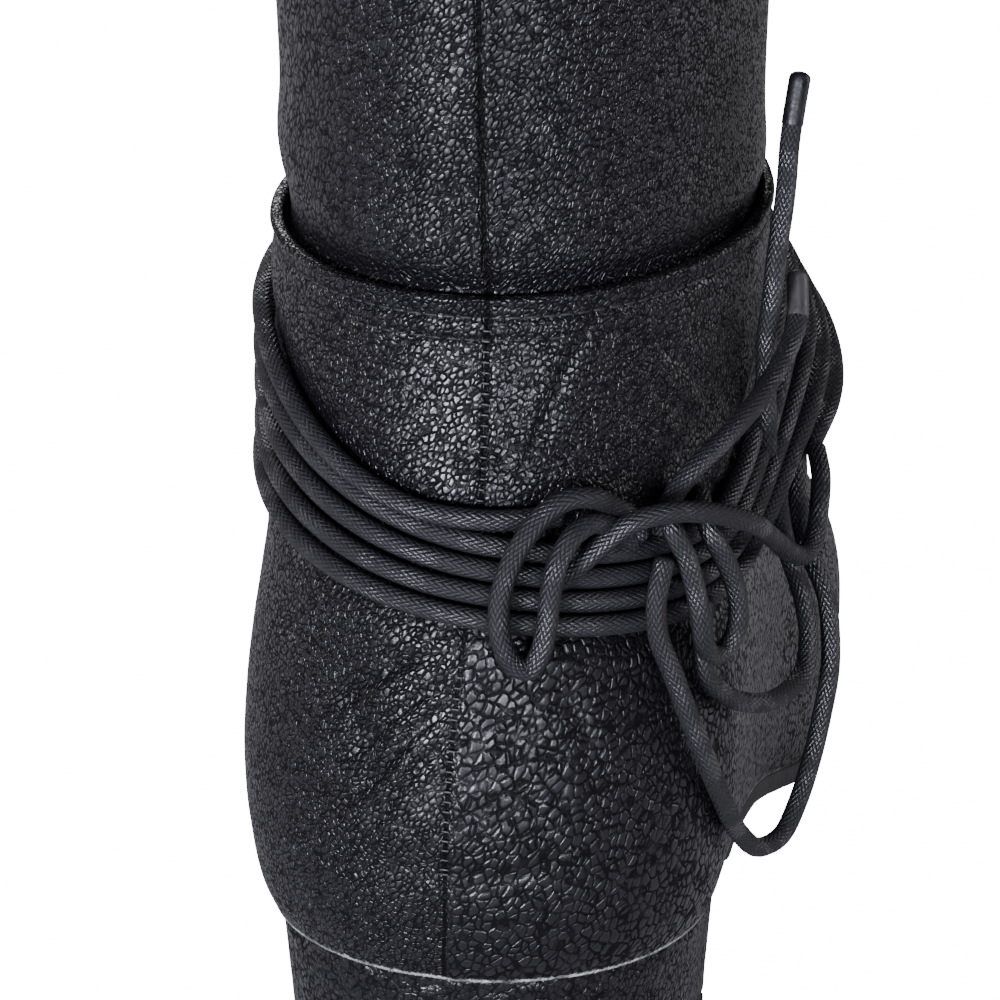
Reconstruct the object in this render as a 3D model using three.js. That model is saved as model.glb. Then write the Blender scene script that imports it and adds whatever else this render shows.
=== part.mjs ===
// A right-foot black leather boot with a leather-covered block heel and a waxed cord wound round the ankle.
// Millimetres, +Z up, toe towards +Y, the wearer's right towards +X.
// The sections are measured from the rearmost line of the heel counter, at y = 0.
// The finished group is then moved so that its origin lies on the floor, at the middle of the top lift.

import * as THREE from 'three';
import { mergeVertices } from 'three/addons/utils/BufferGeometryUtils.js';

// Driving sizes of the last and the leg
const lastLength = 262;
const ballWidth = 92;
const toeSwing = 9;
const heelHeight = 38;
const toeSpring = 9;
const quarterHeight = 98.5;
const ankleWidth = 70;
const shaftHeight = 160;
const collarWidth = 94;
const collarDepth = 112;

// Leather, board and rubber thicknesses
const shaftWall = 1.7;
const quarterStep = 1.3;
const edgeBead = 0.4;
const soleThickness = 4;
const soleMargin = 1;
const insoleThickness = 2;
const topLiftThickness = 6;

// Heel block
const heelLength = 60;
const heelCentre = heelLength / 2;
const heelInset = 1.2;
const heelTaper = 2.2;

// Clearance between pieces that touch
const gap = 0.3;

// Waxed cord wound round the ankle
const cordDiameter = 3;
const cordSides = 8;
const cordLie = 0.65;

// Number of points round each ring of the upper
const around = 44;

// Height of the seat and sole line, as shares of the last's length and of the heel's lift
const pitchRows = [
  { along: 0.00, lift: 1.00 },
  { along: 0.12, lift: 0.93 },
  { along: 0.24, lift: 0.83 },
  { along: 0.36, lift: 0.61 },
  { along: 0.47, lift: 0.29 },
  { along: 0.57, lift: 0.05 },
  { along: 0.63, lift: 0.00 },
  { along: 1.00, lift: 0.00 },
];

// Toe spring starts ahead of the tread, as a share of the last's length
const springStart = 0.74;

// Plan of the last at its widest height: half-widths as shares of the ball width
const planRows = [
  { along: 0.00, lateral: 0.340, medial: 0.340 },
  { along: 0.14, lateral: 0.385, medial: 0.375 },
  { along: 0.30, lateral: 0.375, medial: 0.345 },
  { along: 0.43, lateral: 0.375, medial: 0.350 },
  { along: 0.54, lateral: 0.410, medial: 0.430 },
  { along: 0.64, lateral: 0.422, medial: 0.520 },
  { along: 0.73, lateral: 0.415, medial: 0.560 },
  { along: 0.83, lateral: 0.385, medial: 0.555 },
  { along: 0.92, lateral: 0.330, medial: 0.500 },
  { along: 1.00, lateral: 0.260, medial: 0.420 },
];
const toeStart = 0.76;
const toeRoundness = 2.3;

// Rings of the foot from the sole line up to the turned edge of the quarters.
// rise and lift are heights over the sole line at the back and at the front, as shares of quarterHeight.
// back and along are the ring's two ends, and round is its heel curve, as shares of lastLength.
// half is the half-width behind the ankle, as a share of ankleWidth, and side trims the forepart's plan.
// follow is how far the ring follows the sole line.
const footRows = [
  { rise: 0.000, lift: 0.000, back: 0.0130, along: 0.9850, half: 0.455, round: 0.122, side: 0.950, follow: 1.0 },
  { rise: 0.045, lift: 0.038, back: 0.0065, along: 0.9960, half: 0.478, round: 0.126, side: 0.985, follow: 1.0 },
  { rise: 0.110, lift: 0.095, back: 0.0020, along: 1.0000, half: 0.493, round: 0.130, side: 1.000, follow: 1.0 },
  { rise: 0.185, lift: 0.180, back: 0.0000, along: 0.9920, half: 0.506, round: 0.134, side: 1.000, follow: 1.0 },
  { rise: 0.260, lift: 0.270, back: 0.0010, along: 0.9620, half: 0.512, round: 0.138, side: 1.000, follow: 1.0 },
  { rise: 0.340, lift: 0.365, back: 0.0045, along: 0.9050, half: 0.510, round: 0.142, side: 1.000, follow: 0.9 },
  { rise: 0.430, lift: 0.465, back: 0.0110, along: 0.8200, half: 0.502, round: 0.147, side: 1.000, follow: 0.7 },
  { rise: 0.520, lift: 0.580, back: 0.0190, along: 0.7250, half: 0.490, round: 0.153, side: 1.000, follow: 0.5 },
  { rise: 0.620, lift: 0.700, back: 0.0285, along: 0.6300, half: 0.480, round: 0.159, side: 1.000, follow: 0.3 },
  { rise: 0.720, lift: 0.835, back: 0.0380, along: 0.5450, half: 0.480, round: 0.166, side: 1.000, follow: 0.15 },
  { rise: 0.820, lift: 0.980, back: 0.0465, along: 0.4850, half: 0.488, round: 0.171, side: 1.000, follow: 0.0 },
  { rise: 0.920, lift: 1.130, back: 0.0525, along: 0.4480, half: 0.497, round: 0.175, side: 1.000, follow: 0.0 },
  { rise: 1.000, lift: 1.230, back: 0.0555, along: 0.4310, half: 0.500, round: 0.178, side: 1.000, follow: 0.0 },
];

// Rings of the shaft over the edge: up is a share of shaftHeight.
// grown says how far the ring has gone from the ankle's size to the collar's.
const shaftRows = [
  { up: 0.00, grown: 0.00, lean: 0.00 },
  { up: 0.12, grown: 0.00, lean: 0.08 },
  { up: 0.28, grown: 0.04, lean: 0.16 },
  { up: 0.46, grown: 0.22, lean: 0.36 },
  { up: 0.64, grown: 0.50, lean: 0.60 },
  { up: 0.82, grown: 0.80, lean: 0.84 },
  { up: 1.00, grown: 1.00, lean: 1.00 },
];
const collarBack = 4;

// A smooth curve through one column of a table, with no overshoot between its rows
function column(rows, from, to) {
  const x = rows.map((row) => row[from]);
  const y = rows.map((row) => row[to]);
  const last = x.length - 1;
  const slope = x.slice(1).map((next, i) => (y[i + 1] - y[i]) / (next - x[i]));
  const tangent = x.map((_, i) => {
    if (i === 0) return slope[0];
    if (i === last) return slope[last - 1];
    const before = slope[i - 1];
    const after = slope[i];
    return before * after <= 0 ? 0 : 2 * before * after / (before + after);
  });
  return (at) => {
    const t = THREE.MathUtils.clamp(at, x[0], x[last]);
    let i = 0;
    while (i < last - 1 && t > x[i + 1]) i += 1;
    const h = x[i + 1] - x[i];
    const u = (t - x[i]) / h;
    const v = 1 - u;
    return y[i] * v * v * (1 + 2 * u) + y[i + 1] * u * u * (3 - 2 * u)
      + h * tangent[i] * u * v * v - h * tangent[i + 1] * u * u * v;
  };
}

const pitch = column(pitchRows, 'along', 'lift');
const planLateral = column(planRows, 'along', 'lateral');
const planMedial = column(planRows, 'along', 'medial');

// Height of the line where the upper meets the sole and the heel
function soleLine(y) {
  const share = y / lastLength;
  const spring = Math.max(0, (share - springStart) / (1 - springStart));
  return soleThickness + (heelHeight - soleThickness) * pitch(share) + toeSpring * spring * spring;
}

const edgeHeight = heelHeight + quarterHeight;

// One ring of the foot, its table shares turned into lengths. level counts table rows.
const numbered = footRows.map((row, level) => ({ ...row, level }));
const footColumn = Object.fromEntries(
  Object.keys(footRows[0]).map((key) => [key, column(numbered, 'level', key)]),
);

function footRing(level) {
  const backY = footColumn.back(level) * lastLength;
  const frontY = footColumn.along(level) * lastLength;
  return {
    backY,
    frontY,
    rise: footColumn.rise(level) * quarterHeight,
    lift: footColumn.lift(level) * quarterHeight,
    half: footColumn.half(level) * ankleWidth,
    round: footColumn.round(level) * lastLength,
    side: footColumn.side(level),
    follow: footColumn.follow(level),
  };
}

// The centre line over the toe, vamp and instep: its height at each place along the foot
const ridgeRows = [];
for (let level = footRows.length - 1; level >= 2; level -= 1) {
  const ring = footRing(level);
  ridgeRows.push({ y: ring.frontY, z: soleLine(ring.frontY) + ring.lift });
}
const ridgeBehind = column(ridgeRows, 'y', 'z');
const throat = ridgeRows[0];
const throatSteepness = 6;

function ridge(y) {
  return y >= throat.y ? ridgeBehind(y) : throat.z + (throat.y - y) * throatSteepness;
}

// Half-width of the forepart at a height, from its plan and a rounded crown
const wallShare = footRows[2].lift;
const crown = 2.15;

function forepart(ring, share, y, z, plan, sign) {
  const toe = Math.max(0, (share - toeStart) / (1 - toeStart));
  const rounding = Math.pow(Math.max(0, 1 - Math.pow(toe, toeRoundness)), 1 / toeRoundness);
  const tip = -toeSwing * sign;
  const flat = tip + (plan(share) * ballWidth * ring.side - tip) * rounding;
  const wallTop = soleLine(y) + wallShare * quarterHeight;
  if (z <= wallTop) return flat;
  const over = Math.min(1, (z - wallTop) / Math.max(1, ridge(y) - wallTop));
  const lean = tip * THREE.MathUtils.smoothstep(y / lastLength, 0.4, 0.75);
  return lean + (flat - lean) * Math.pow(1 - Math.pow(over, crown), 1 / crown);
}

// Half-width of the heel and leg, from the ring's own curve behind and the ridge in front
function hindpart(ring, y) {
  const middle = ring.backY + ring.round;
  const behind = Math.max(0, (middle - y) / ring.round);
  const ahead = Math.max(0, (y - middle) / (ring.frontY - middle));
  return ring.half * Math.sqrt(Math.max(0, 1 - behind * behind)) * Math.sqrt(Math.max(0, 1 - ahead * ahead));
}

// How far a point belongs to the leg's level rings rather than the forepart's upright sections
const pivotShare = 0.63;
function legShare(y, z) {
  if (z >= edgeHeight) return 1;
  const turn = Math.atan2(pivotShare * lastLength - y, edgeHeight - z);
  return THREE.MathUtils.smoothstep(turn, 0.25, 1.15);
}

// A point of the base surface on a foot ring. share runs from the back to the front, sign is +1 lateral.
function footPoint(ring, share, sign) {
  const along = ring.backY + (ring.frontY - ring.backY) * share;
  const backZ = soleLine(ring.backY) + ring.rise;
  const frontZ = soleLine(ring.frontY) + ring.lift;
  const followed = soleLine(along) + THREE.MathUtils.lerp(ring.rise, ring.lift, share);
  const level = THREE.MathUtils.lerp(backZ, frontZ, share);
  const z = THREE.MathUtils.lerp(level, followed, ring.follow);
  const plan = sign > 0 ? planLateral : planMedial;
  const place = ring.frontY > toeStart * lastLength && ring.lift <= wallShare * quarterHeight
    ? share : along / lastLength;
  const fore = forepart(ring, place, along, z, plan, sign);
  const hind = hindpart(ring, along);
  const x = sign * THREE.MathUtils.lerp(fore, hind, legShare(along, z));
  return new THREE.Vector3(x, along, z);
}

const growth = column(shaftRows, 'up', 'grown');
const leaning = column(shaftRows, 'up', 'lean');
const ankleRing = footRing(footRows.length - 1);
const ankleDepth = ankleRing.frontY - ankleRing.backY;

// A point of the base surface on a shaft ring. up is a share of the shaft's height.
function shaftPoint(up, share, sign) {
  const grown = growth(up);
  const lean = leaning(up);
  const width = THREE.MathUtils.lerp(ankleWidth, collarWidth, grown);
  const depth = THREE.MathUtils.lerp(ankleDepth, collarDepth, grown);
  const backY = THREE.MathUtils.lerp(ankleRing.backY, collarBack, lean);
  const edgeZ = THREE.MathUtils.lerp(edgeHeight, soleLine(ankleRing.frontY) + ankleRing.lift, share);
  const collarZ = edgeHeight + shaftHeight;
  const side = 2 * Math.sqrt(Math.max(0, share * (1 - share)));
  return new THREE.Vector3(
    sign * width / 2 * side,
    backY + depth * share,
    THREE.MathUtils.lerp(edgeZ, collarZ, up),
  );
}

// A closed ring of points: behind, the lateral side, the front, the medial side
function ringOf(point) {
  const half = around / 2;
  return Array.from({ length: around }, (_, i) => {
    const sign = i <= half ? 1 : -1;
    const step = i <= half ? i / half : (around - i) / half;
    return point((1 - Math.cos(Math.PI * step)) / 2, sign);
  });
}

// Outward normals of a stack of closed rings
function normalsOf(rings) {
  return rings.map((ring, k) => ring.map((point, i) => {
    const before = ring[(i + around - 1) % around];
    const after = ring[(i + 1) % around];
    const below = rings[Math.max(0, k - 1)][i];
    const above = rings[Math.min(rings.length - 1, k + 1)][i];
    const across = after.clone().sub(before);
    const up = above.clone().sub(below);
    return across.cross(up).normalize();
  }));
}

function offsetRing(ring, normals, distance) {
  return ring.map((point, i) => point.clone().addScaledVector(normals[i], distance));
}

// A closed solid from a list of closed rings that goes round the wall's section and back to its start
function ringLoop(rings) {
  const positions = rings.flat().flatMap((point) => [point.x, point.y, point.z]);
  const index = [];
  rings.forEach((_, k) => {
    const next = (k + 1) % rings.length;
    for (let i = 0; i < around; i += 1) {
      const j = (i + 1) % around;
      const a = k * around + i;
      const b = k * around + j;
      const c = next * around + j;
      const d = next * around + i;
      index.push(a, b, c, a, c, d);
    }
  });
  const geometry = new THREE.BufferGeometry();
  geometry.setAttribute('position', new THREE.Float32BufferAttribute(positions, 3));
  geometry.setIndex(index);
  return geometry;
}

// Welds shared corners and drops the faces that a pointed end leaves without area
function closed(geometry) {
  const welded = mergeVertices(geometry, 1e-3);
  const index = Array.from(welded.index.array);
  const kept = [];
  for (let i = 0; i < index.length; i += 3) {
    const [a, b, c] = index.slice(i, i + 3);
    if (a !== b && b !== c && c !== a) kept.push(a, b, c);
  }
  welded.setIndex(kept);
  return welded;
}

// A closed solid between a lower and an upper face, each given as a lateral and a medial edge
function slab(lateralLow, medialLow, lateralHigh, medialHigh) {
  const count = lateralLow.length;
  const points = [...lateralLow, ...medialLow, ...lateralHigh, ...medialHigh];
  const index = [];
  const quad = (a, b, c, d) => index.push(a, b, c, a, c, d);
  for (let i = 0; i < count - 1; i += 1) {
    const lateral = i;
    const medial = count + i;
    const over = 2 * count;
    quad(lateral, medial, medial + 1, lateral + 1);
    quad(lateral + over, lateral + 1 + over, medial + 1 + over, medial + over);
    quad(lateral, lateral + 1, lateral + 1 + over, lateral + over);
    quad(medial, medial + over, medial + 1 + over, medial + 1);
  }
  const last = count - 1;
  quad(0, 2 * count, 3 * count, count);
  quad(last, count + last, 3 * count + last, 2 * count + last);
  const geometry = new THREE.BufferGeometry();
  geometry.setAttribute('position', new THREE.Float32BufferAttribute(points.flatMap((p) => [p.x, p.y, p.z]), 3));
  geometry.setIndex(index);
  return closed(geometry);
}

const black = { leather: '#16171a', cover: '#17181b', rubber: '#121214', board: '#8a7458', cord: '#141518' };

function piece(name, geometry, color, roughness) {
  geometry.computeVertexNormals();
  const mesh = new THREE.Mesh(geometry, new THREE.MeshStandardMaterial({ color, roughness, metalness: 0 }));
  mesh.name = name;
  return mesh;
}

// Upper: the foot rings with the quarter's extra thickness, a turned bead at their edge, then the shaft
const footLevels = [0, 0.5, 1, 2, 3, 3.6, 4.2, 5, 6, 7, 8, 9, 10, 11, 11.6, 11.85, 12];
const shaftLevels = [0.004, 0.06, 0.16, 0.3, 0.45, 0.6, 0.75, 0.9, 1];

function upperSolid() {
  const foot = footLevels.map((level) => ringOf((share, sign) => footPoint(footRing(level), share, sign)));
  const shaft = shaftLevels.map((up) => ringOf((share, sign) => shaftPoint(up, share, sign)));
  const base = [...foot, ...shaft];
  const normals = normalsOf(base);
  const last = foot.length - 1;
  const outer = base.map((ring, k) => {
    if (k > last) return ring;
    const bead = k >= last - 1 ? edgeBead : 0;
    return offsetRing(ring, normals[k], quarterStep + bead);
  });
  const inner = base.map((ring, k) => offsetRing(ring, normals[k], -shaftWall));
  inner[0].forEach((point) => {
    point.z = soleLine(point.y) + gap;
  });
  outer[0].forEach((point) => {
    point.z = soleLine(point.y) + gap;
  });
  return ringLoop([...outer, ...inner.reverse()]);
}

// A point of the upper's lower edge seen from above, moved out by a margin
const lowestRing = footRing(0);
function lowerEdge(share, sign, margin) {
  const small = 0.002;
  const before = footPoint(lowestRing, Math.max(0, share - small), sign);
  const after = footPoint(lowestRing, Math.min(1, share + small), sign);
  const here = footPoint(lowestRing, share, sign);
  const along = new THREE.Vector2(after.x - before.x, after.y - before.y).normalize();
  if (share < small) along.set(sign, 0);
  if (share > 1 - small) along.set(-sign, 0);
  return new THREE.Vector2(here.x + sign * along.y * margin, here.y - sign * along.x * margin);
}

// The two edges of a slab between two shares of the length, each point lifted to its height
function edges(shares, margin, height) {
  const side = (sign) => shares.map((share) => {
    const wide = typeof margin === 'function' ? margin(share) : margin;
    const point = lowerEdge(share, sign, wide);
    return new THREE.Vector3(point.x, point.y, height(point.y));
  });
  return [side(1), side(-1)];
}

const shareAt = (y) => (y - lowestRing.backY) / (lowestRing.frontY - lowestRing.backY);
const breastShare = shareAt(heelLength);

// Heel block with its covered sides, and the rubber top lift under it
const heelSteps = 12;
const heelShares = Array.from({ length: heelSteps + 1 }, (_, i) => (
  breastShare * (1 - Math.cos((Math.PI / 2) * (i / heelSteps)))
));

function heelSolids() {
  const topMargin = quarterStep - heelInset;
  const [lateralTop, medialTop] = edges(heelShares, topMargin, soleLine);
  const [lateralLow, medialLow] = edges(heelShares, topMargin - heelTaper, () => topLiftThickness + gap);
  const [lateralLift, medialLift] = edges(heelShares, topMargin - heelTaper, () => topLiftThickness);
  const [lateralFloor, medialFloor] = edges(heelShares, topMargin - heelTaper, () => 0);
  return [
    piece('heel_block', slab(lateralLow, medialLow, lateralTop, medialTop), black.cover, 0.5),
    piece('heel_top_lift', slab(lateralFloor, medialFloor, lateralLift, medialLift), black.rubber, 0.8),
  ];
}

// Outsole from the heel breast to the toe, trimmed close at the waist
const soleSteps = 26;
function outsoleSolid() {
  const start = shareAt(heelLength + gap);
  const shares = Array.from({ length: soleSteps + 1 }, (_, i) => (
    start + (1 - start) * Math.sin((Math.PI / 2) * (i / soleSteps))
  ));
  const margin = (share) => quarterStep + soleMargin * THREE.MathUtils.smoothstep(share, 0.3, 0.6);
  const [lateralTop, medialTop] = edges(shares, margin, soleLine);
  const [lateralLow, medialLow] = edges(shares, margin, (y) => soleLine(y) - soleThickness);
  return slab(lateralLow, medialLow, lateralTop, medialTop);
}

// Insole board inside the upper's lower edge
function insoleSolid() {
  const shares = Array.from({ length: soleSteps + 1 }, (_, i) => (1 - Math.cos(Math.PI * (i / soleSteps))) / 2);
  const margin = -(shaftWall + 2 * gap);
  const [lateralTop, medialTop] = edges(shares, margin, (y) => soleLine(y) + gap + insoleThickness);
  const [lateralLow, medialLow] = edges(shares, margin, (y) => soleLine(y) + gap);
  return slab(lateralLow, medialLow, lateralTop, medialTop);
}

// Turns of the cord, from the top one down. Heights over the seat are shares of quarterHeight,
// at the back, left side, front, right side and under the knot.
// stand is how far the turn stands off the leather on the right side, in cord diameters.
const turnRows = [
  { back: 0.690, left: 0.873, front: 0.975, side: 0.843, knot: 0.616, stand: 0.10 },
  { back: 0.658, left: 0.822, front: 0.939, side: 0.807, knot: 0.582, stand: 0.90 },
  { back: 0.624, left: 0.772, front: 0.904, side: 0.766, knot: 0.548, stand: 1.75 },
  { back: 0.590, left: 0.721, front: 0.868, side: 0.721, knot: 0.514, stand: 2.60 },
  { back: 0.556, left: 0.675, front: 0.832, side: 0.675, knot: 0.480, stand: 3.45 },
];
const turnPlaces = { start: 18, back: 5, left: -68, front: -180, side: -265, knot: -316 };
const wrapEnd = { angle: -282, height: 0.615, stand: 2.4 };
const wrapStep = 12;

// A point outside the quarters at a signed angle round the leg, a height and a distance off the leather
function onLeather(angle, height, off) {
  const base = (turn, level) => footPoint(footRing(level), (1 - Math.cos(turn)) / 2, Math.sin(turn) >= 0 ? 1 : -1);
  let low = 3;
  let high = footRows.length - 1;
  for (let i = 0; i < 30; i += 1) {
    const middle = (low + high) / 2;
    if (base(angle, middle).z < height) low = middle;
    else high = middle;
  }
  const small = 0.02;
  const level = Math.min(low, footRows.length - 1 - small);
  const across = base(angle + small, level).sub(base(angle - small, level));
  const up = base(angle, level + small).sub(base(angle, level - small));
  return base(angle, low).addScaledVector(across.cross(up).normalize(), quarterStep + off);
}

// A round cord along a smooth path through points
function tube(points, step) {
  const path = new THREE.CatmullRomCurve3(points, false, 'centripetal');
  const section = new THREE.Shape(Array.from({ length: cordSides }, (_, i) => {
    const turn = (i / cordSides) * 2 * Math.PI;
    return new THREE.Vector2(Math.cos(turn), Math.sin(turn)).multiplyScalar(cordDiameter / 2);
  }));
  const geometry = new THREE.ExtrudeGeometry(section, {
    steps: Math.round(path.getLength() / step),
    extrudePath: path,
    bevelEnabled: false,
  });
  geometry.deleteAttribute('normal');
  geometry.deleteAttribute('uv');
  return closed(geometry);
}

// The wound turns: one cord that goes round the ankle again and again, a little lower each time
function wrapPath() {
  const lie = cordDiameter / 2 + cordLie;
  const rows = [{ at: -turnPlaces.start, height: turnRows[0].back, off: 0 }];
  turnRows.forEach((row, k) => {
    const add = (place, height, stand) => rows.push({ at: 360 * k - place, height, off: stand * cordDiameter });
    add(turnPlaces.back, row.back, 0);
    add(turnPlaces.left, row.left, 0);
    add(turnPlaces.front, row.front, 0);
    add(turnPlaces.side, row.side, row.stand);
    if (k < turnRows.length - 1) add(turnPlaces.knot, row.knot, 0);
    else add(wrapEnd.angle, wrapEnd.height, wrapEnd.stand);
  });
  const height = column(rows, 'at', 'height');
  const off = column(rows, 'at', 'off');
  const first = rows[0].at;
  const whole = rows[rows.length - 1].at - first;
  const count = Math.ceil(whole / wrapStep);
  return Array.from({ length: count + 1 }, (_, i) => {
    const at = first + (whole * i) / count;
    const up = heelHeight + height(at) * quarterHeight;
    return onLeather(-THREE.MathUtils.degToRad(at), up, lie + off(at));
  });
}

// The free cord: the knot's bights, the two hanging loops and the two ends. Each route was chosen
// by hand, in millimetres, on a boot of the sizes in routeFor, and stretches with those sizes.
const cordRoutes = {
  lace_knot_left: [
    [20.9, 13.0, 107.8], [19.4, 9.6, 110.0], [16.6, 7.6, 110.5], [13.5, 5.8, 109.0], [10.7, 3.6, 105.4],
    [8.9, 1.8, 101.5], [8.0, 0.6, 96.9], [8.3, 0.3, 92.4], [9.6, 1.4, 88.4], [11.8, 2.2, 87.0],
    [13.4, 2.1, 89.8], [14.2, 2.4, 93.7], [14.6, 3.3, 98.5], [15.3, 4.6, 102.2], [17.0, 6.6, 105.4],
    [19.2, 9.6, 106.3],
  ],
  lace_knot_right: [
    [27.5, 21.6, 104.7], [29.1, 18.1, 102.7], [31.0, 18.2, 98.6], [32.4, 18.4, 93.6], [33.3, 18.5, 89.1],
    [33.6, 19.4, 85.5], [34.4, 21.7, 82.6], [35.8, 24.2, 82.0], [37.2, 25.3, 84.2], [37.7, 25.6, 87.8],
    [37.1, 25.2, 91.9], [35.6, 24.0, 96.5], [33.7, 23.1, 100.6], [32.0, 26.2, 103.4],
  ],
  lace_knot_top: [
    [20.8, 10.8, 103.2], [23.8, 12.0, 105.5], [28.7, 14.2, 106.7], [34.1, 19.2, 105.1], [39.0, 28.4, 100.3],
    [41.0, 38.0, 94.2], [42.8, 45.0, 89.3], [44.6, 50.0, 87.0], [45.7, 53.4, 88.6], [46.0, 55.2, 92.4],
  ],
  lace_end_side: [
    [29.0, 23.7, 106.7], [31.1, 25.7, 109.3], [34.2, 29.6, 111.8], [37.2, 34.7, 114.5], [39.6, 42.0, 117.2],
    [41.4, 48.5, 120.3], [42.0, 52.0, 123.0], [41.4, 56.0, 128.0],
  ],
  lace_end_up: [
    [38.2, 49.3, 110.8], [37.9, 49.5, 116.0], [37.9, 49.8, 121.0], [38.4, 50.0, 125.8], [38.6, 50.6, 130.0], [38.9, 52.0, 134.5],
    [39.3, 53.6, 139.0], [39.5, 54.8, 143.0], [39.6, 56.0, 148.0], [40.0, 57.2, 152.6], [40.5, 58.4, 157.0],
  ],
  lace_loop_long: [
    [27.9, 14.5, 87.8], [29.9, 15.9, 81.5], [32.1, 16.8, 74.9], [34.3, 18.4, 68.0], [36.6, 23.1, 58.7],
    [38.3, 31.0, 49.6], [40.6, 36.0, 44.9], [43.5, 41.0, 44.6], [45.4, 45.0, 48.3], [47.1, 48.0, 54.8],
    [48.2, 50.0, 61.3], [48.9, 52.0, 67.6], [48.5, 54.0, 73.5], [47.4, 56.0, 78.5], [45.0, 58.0, 82.7],
    [42.9, 60.0, 86.6], [42.2, 62.0, 90.6],
  ],
  lace_loop_short: [
    [33.6, 21.7, 79.4], [35.2, 23.8, 76.3], [37.9, 28.7, 72.3], [41.0, 34.0, 69.9], [43.8, 42.0, 68.5],
    [45.4, 47.0, 69.6], [45.6, 50.6, 73.3], [44.4, 53.2, 78.1], [43.0, 54.4, 81.6], [41.6, 55.0, 85.0],
  ],
};
const routeFor = { width: 92, length: 262, height: 98.5 };
const routeStep = 1.5;
const turnStep = 2;

function routePoints(route) {
  return route.map(([x, y, z]) => new THREE.Vector3(
    (x * ballWidth) / routeFor.width,
    (y * lastLength) / routeFor.length,
    heelHeight + ((z - heelHeight) * quarterHeight) / routeFor.height,
  ));
}

const object = new THREE.Group();
object.position.y = -heelCentre;
object.add(piece('upper', upperSolid(), black.leather, 0.5));
object.add(...heelSolids());
object.add(piece('outsole', outsoleSolid(), black.rubber, 0.7));
object.add(piece('insole', insoleSolid(), black.board, 0.8));
object.add(piece('lace_wraps', tube(wrapPath(), turnStep * cordDiameter), black.cord, 0.6));
for (const [name, route] of Object.entries(cordRoutes)) {
  object.add(piece(name, tube(routePoints(route), routeStep * cordDiameter), black.cord, 0.6));
}

export default object;
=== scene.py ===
# %% [markdown]
# # A wrapped leather boot, seen close up from behind
#
# The boot is black pebbled leather: a plain shaft tucked into a pair of quarters with a turned edge,
# over a covered block heel. A long waxed cord goes five times round the ankle and is knotted behind.
#
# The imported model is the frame: it fixes every size and place. Here each of its solids gets a finely
# divided piece with the creases, seams, stitches and braid that a hand would feel.

# %% Load the frame
import math

import bpy
import numpy as np
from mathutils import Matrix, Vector


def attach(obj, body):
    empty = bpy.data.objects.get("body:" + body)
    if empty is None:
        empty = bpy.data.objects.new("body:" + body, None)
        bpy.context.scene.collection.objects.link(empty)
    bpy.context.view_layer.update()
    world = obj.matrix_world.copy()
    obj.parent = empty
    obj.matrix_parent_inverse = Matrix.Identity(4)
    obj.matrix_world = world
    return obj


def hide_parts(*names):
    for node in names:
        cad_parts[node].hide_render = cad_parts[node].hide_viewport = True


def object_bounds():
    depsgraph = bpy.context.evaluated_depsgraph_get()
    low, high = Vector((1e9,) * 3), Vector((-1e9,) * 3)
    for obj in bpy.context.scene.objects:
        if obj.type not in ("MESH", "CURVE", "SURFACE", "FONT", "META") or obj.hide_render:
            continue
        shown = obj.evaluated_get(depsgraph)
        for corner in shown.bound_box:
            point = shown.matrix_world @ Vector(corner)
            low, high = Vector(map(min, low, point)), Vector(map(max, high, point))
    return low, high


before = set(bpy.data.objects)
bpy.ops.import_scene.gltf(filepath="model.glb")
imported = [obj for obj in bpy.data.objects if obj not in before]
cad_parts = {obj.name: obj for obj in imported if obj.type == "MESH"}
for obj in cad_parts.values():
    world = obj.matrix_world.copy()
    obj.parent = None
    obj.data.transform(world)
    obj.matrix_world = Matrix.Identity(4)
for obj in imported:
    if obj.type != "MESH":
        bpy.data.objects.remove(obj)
cad_low, cad_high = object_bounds()
print("CAD box:", [round(v, 4) for v in cad_low], [round(v, 4) for v in cad_high])

# %% [markdown]
# ## The camera
#
# The photograph is a close view of the heel from behind, a little above it and from its right.
# A lens of 113 mm from under half a metre gives the photograph's scale of 7 pixels to a millimetre.
# The direction comes from two angles, so that it is easy to compare with the other views.

# %% Place the camera
AZIMUTH = math.radians(11)
ELEVATION = math.radians(22)
look = Vector((
    -math.sin(AZIMUTH) * math.cos(ELEVATION),
    math.cos(AZIMUTH) * math.cos(ELEVATION),
    -math.sin(ELEVATION),
))
camera_data = bpy.data.cameras.new("photo_camera")
camera_data.sensor_width = 36
camera_data.lens = 113.4
camera_data.clip_start = 0.02
camera = bpy.data.objects.new("photo_camera", camera_data)
camera.location = (0.0823, -0.4110, 0.2695)
camera.rotation_mode = "QUATERNION"
camera.rotation_quaternion = look.to_track_quat("-Z", "Y")
bpy.context.scene.collection.objects.link(camera)
bpy.context.scene.camera = camera
print("camera looks along", [round(v, 3) for v in look])

# %% [markdown]
# ## Sizes and smooth curves
#
# The shoe is drawn from the same sizes and tables as its solids, in millimetres from the rearmost
# line of the counter. Blender works in metres with the origin under the heel, so one function at
# the end moves and scales every piece. The tables are read through a curve that never overshoots.

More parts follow.
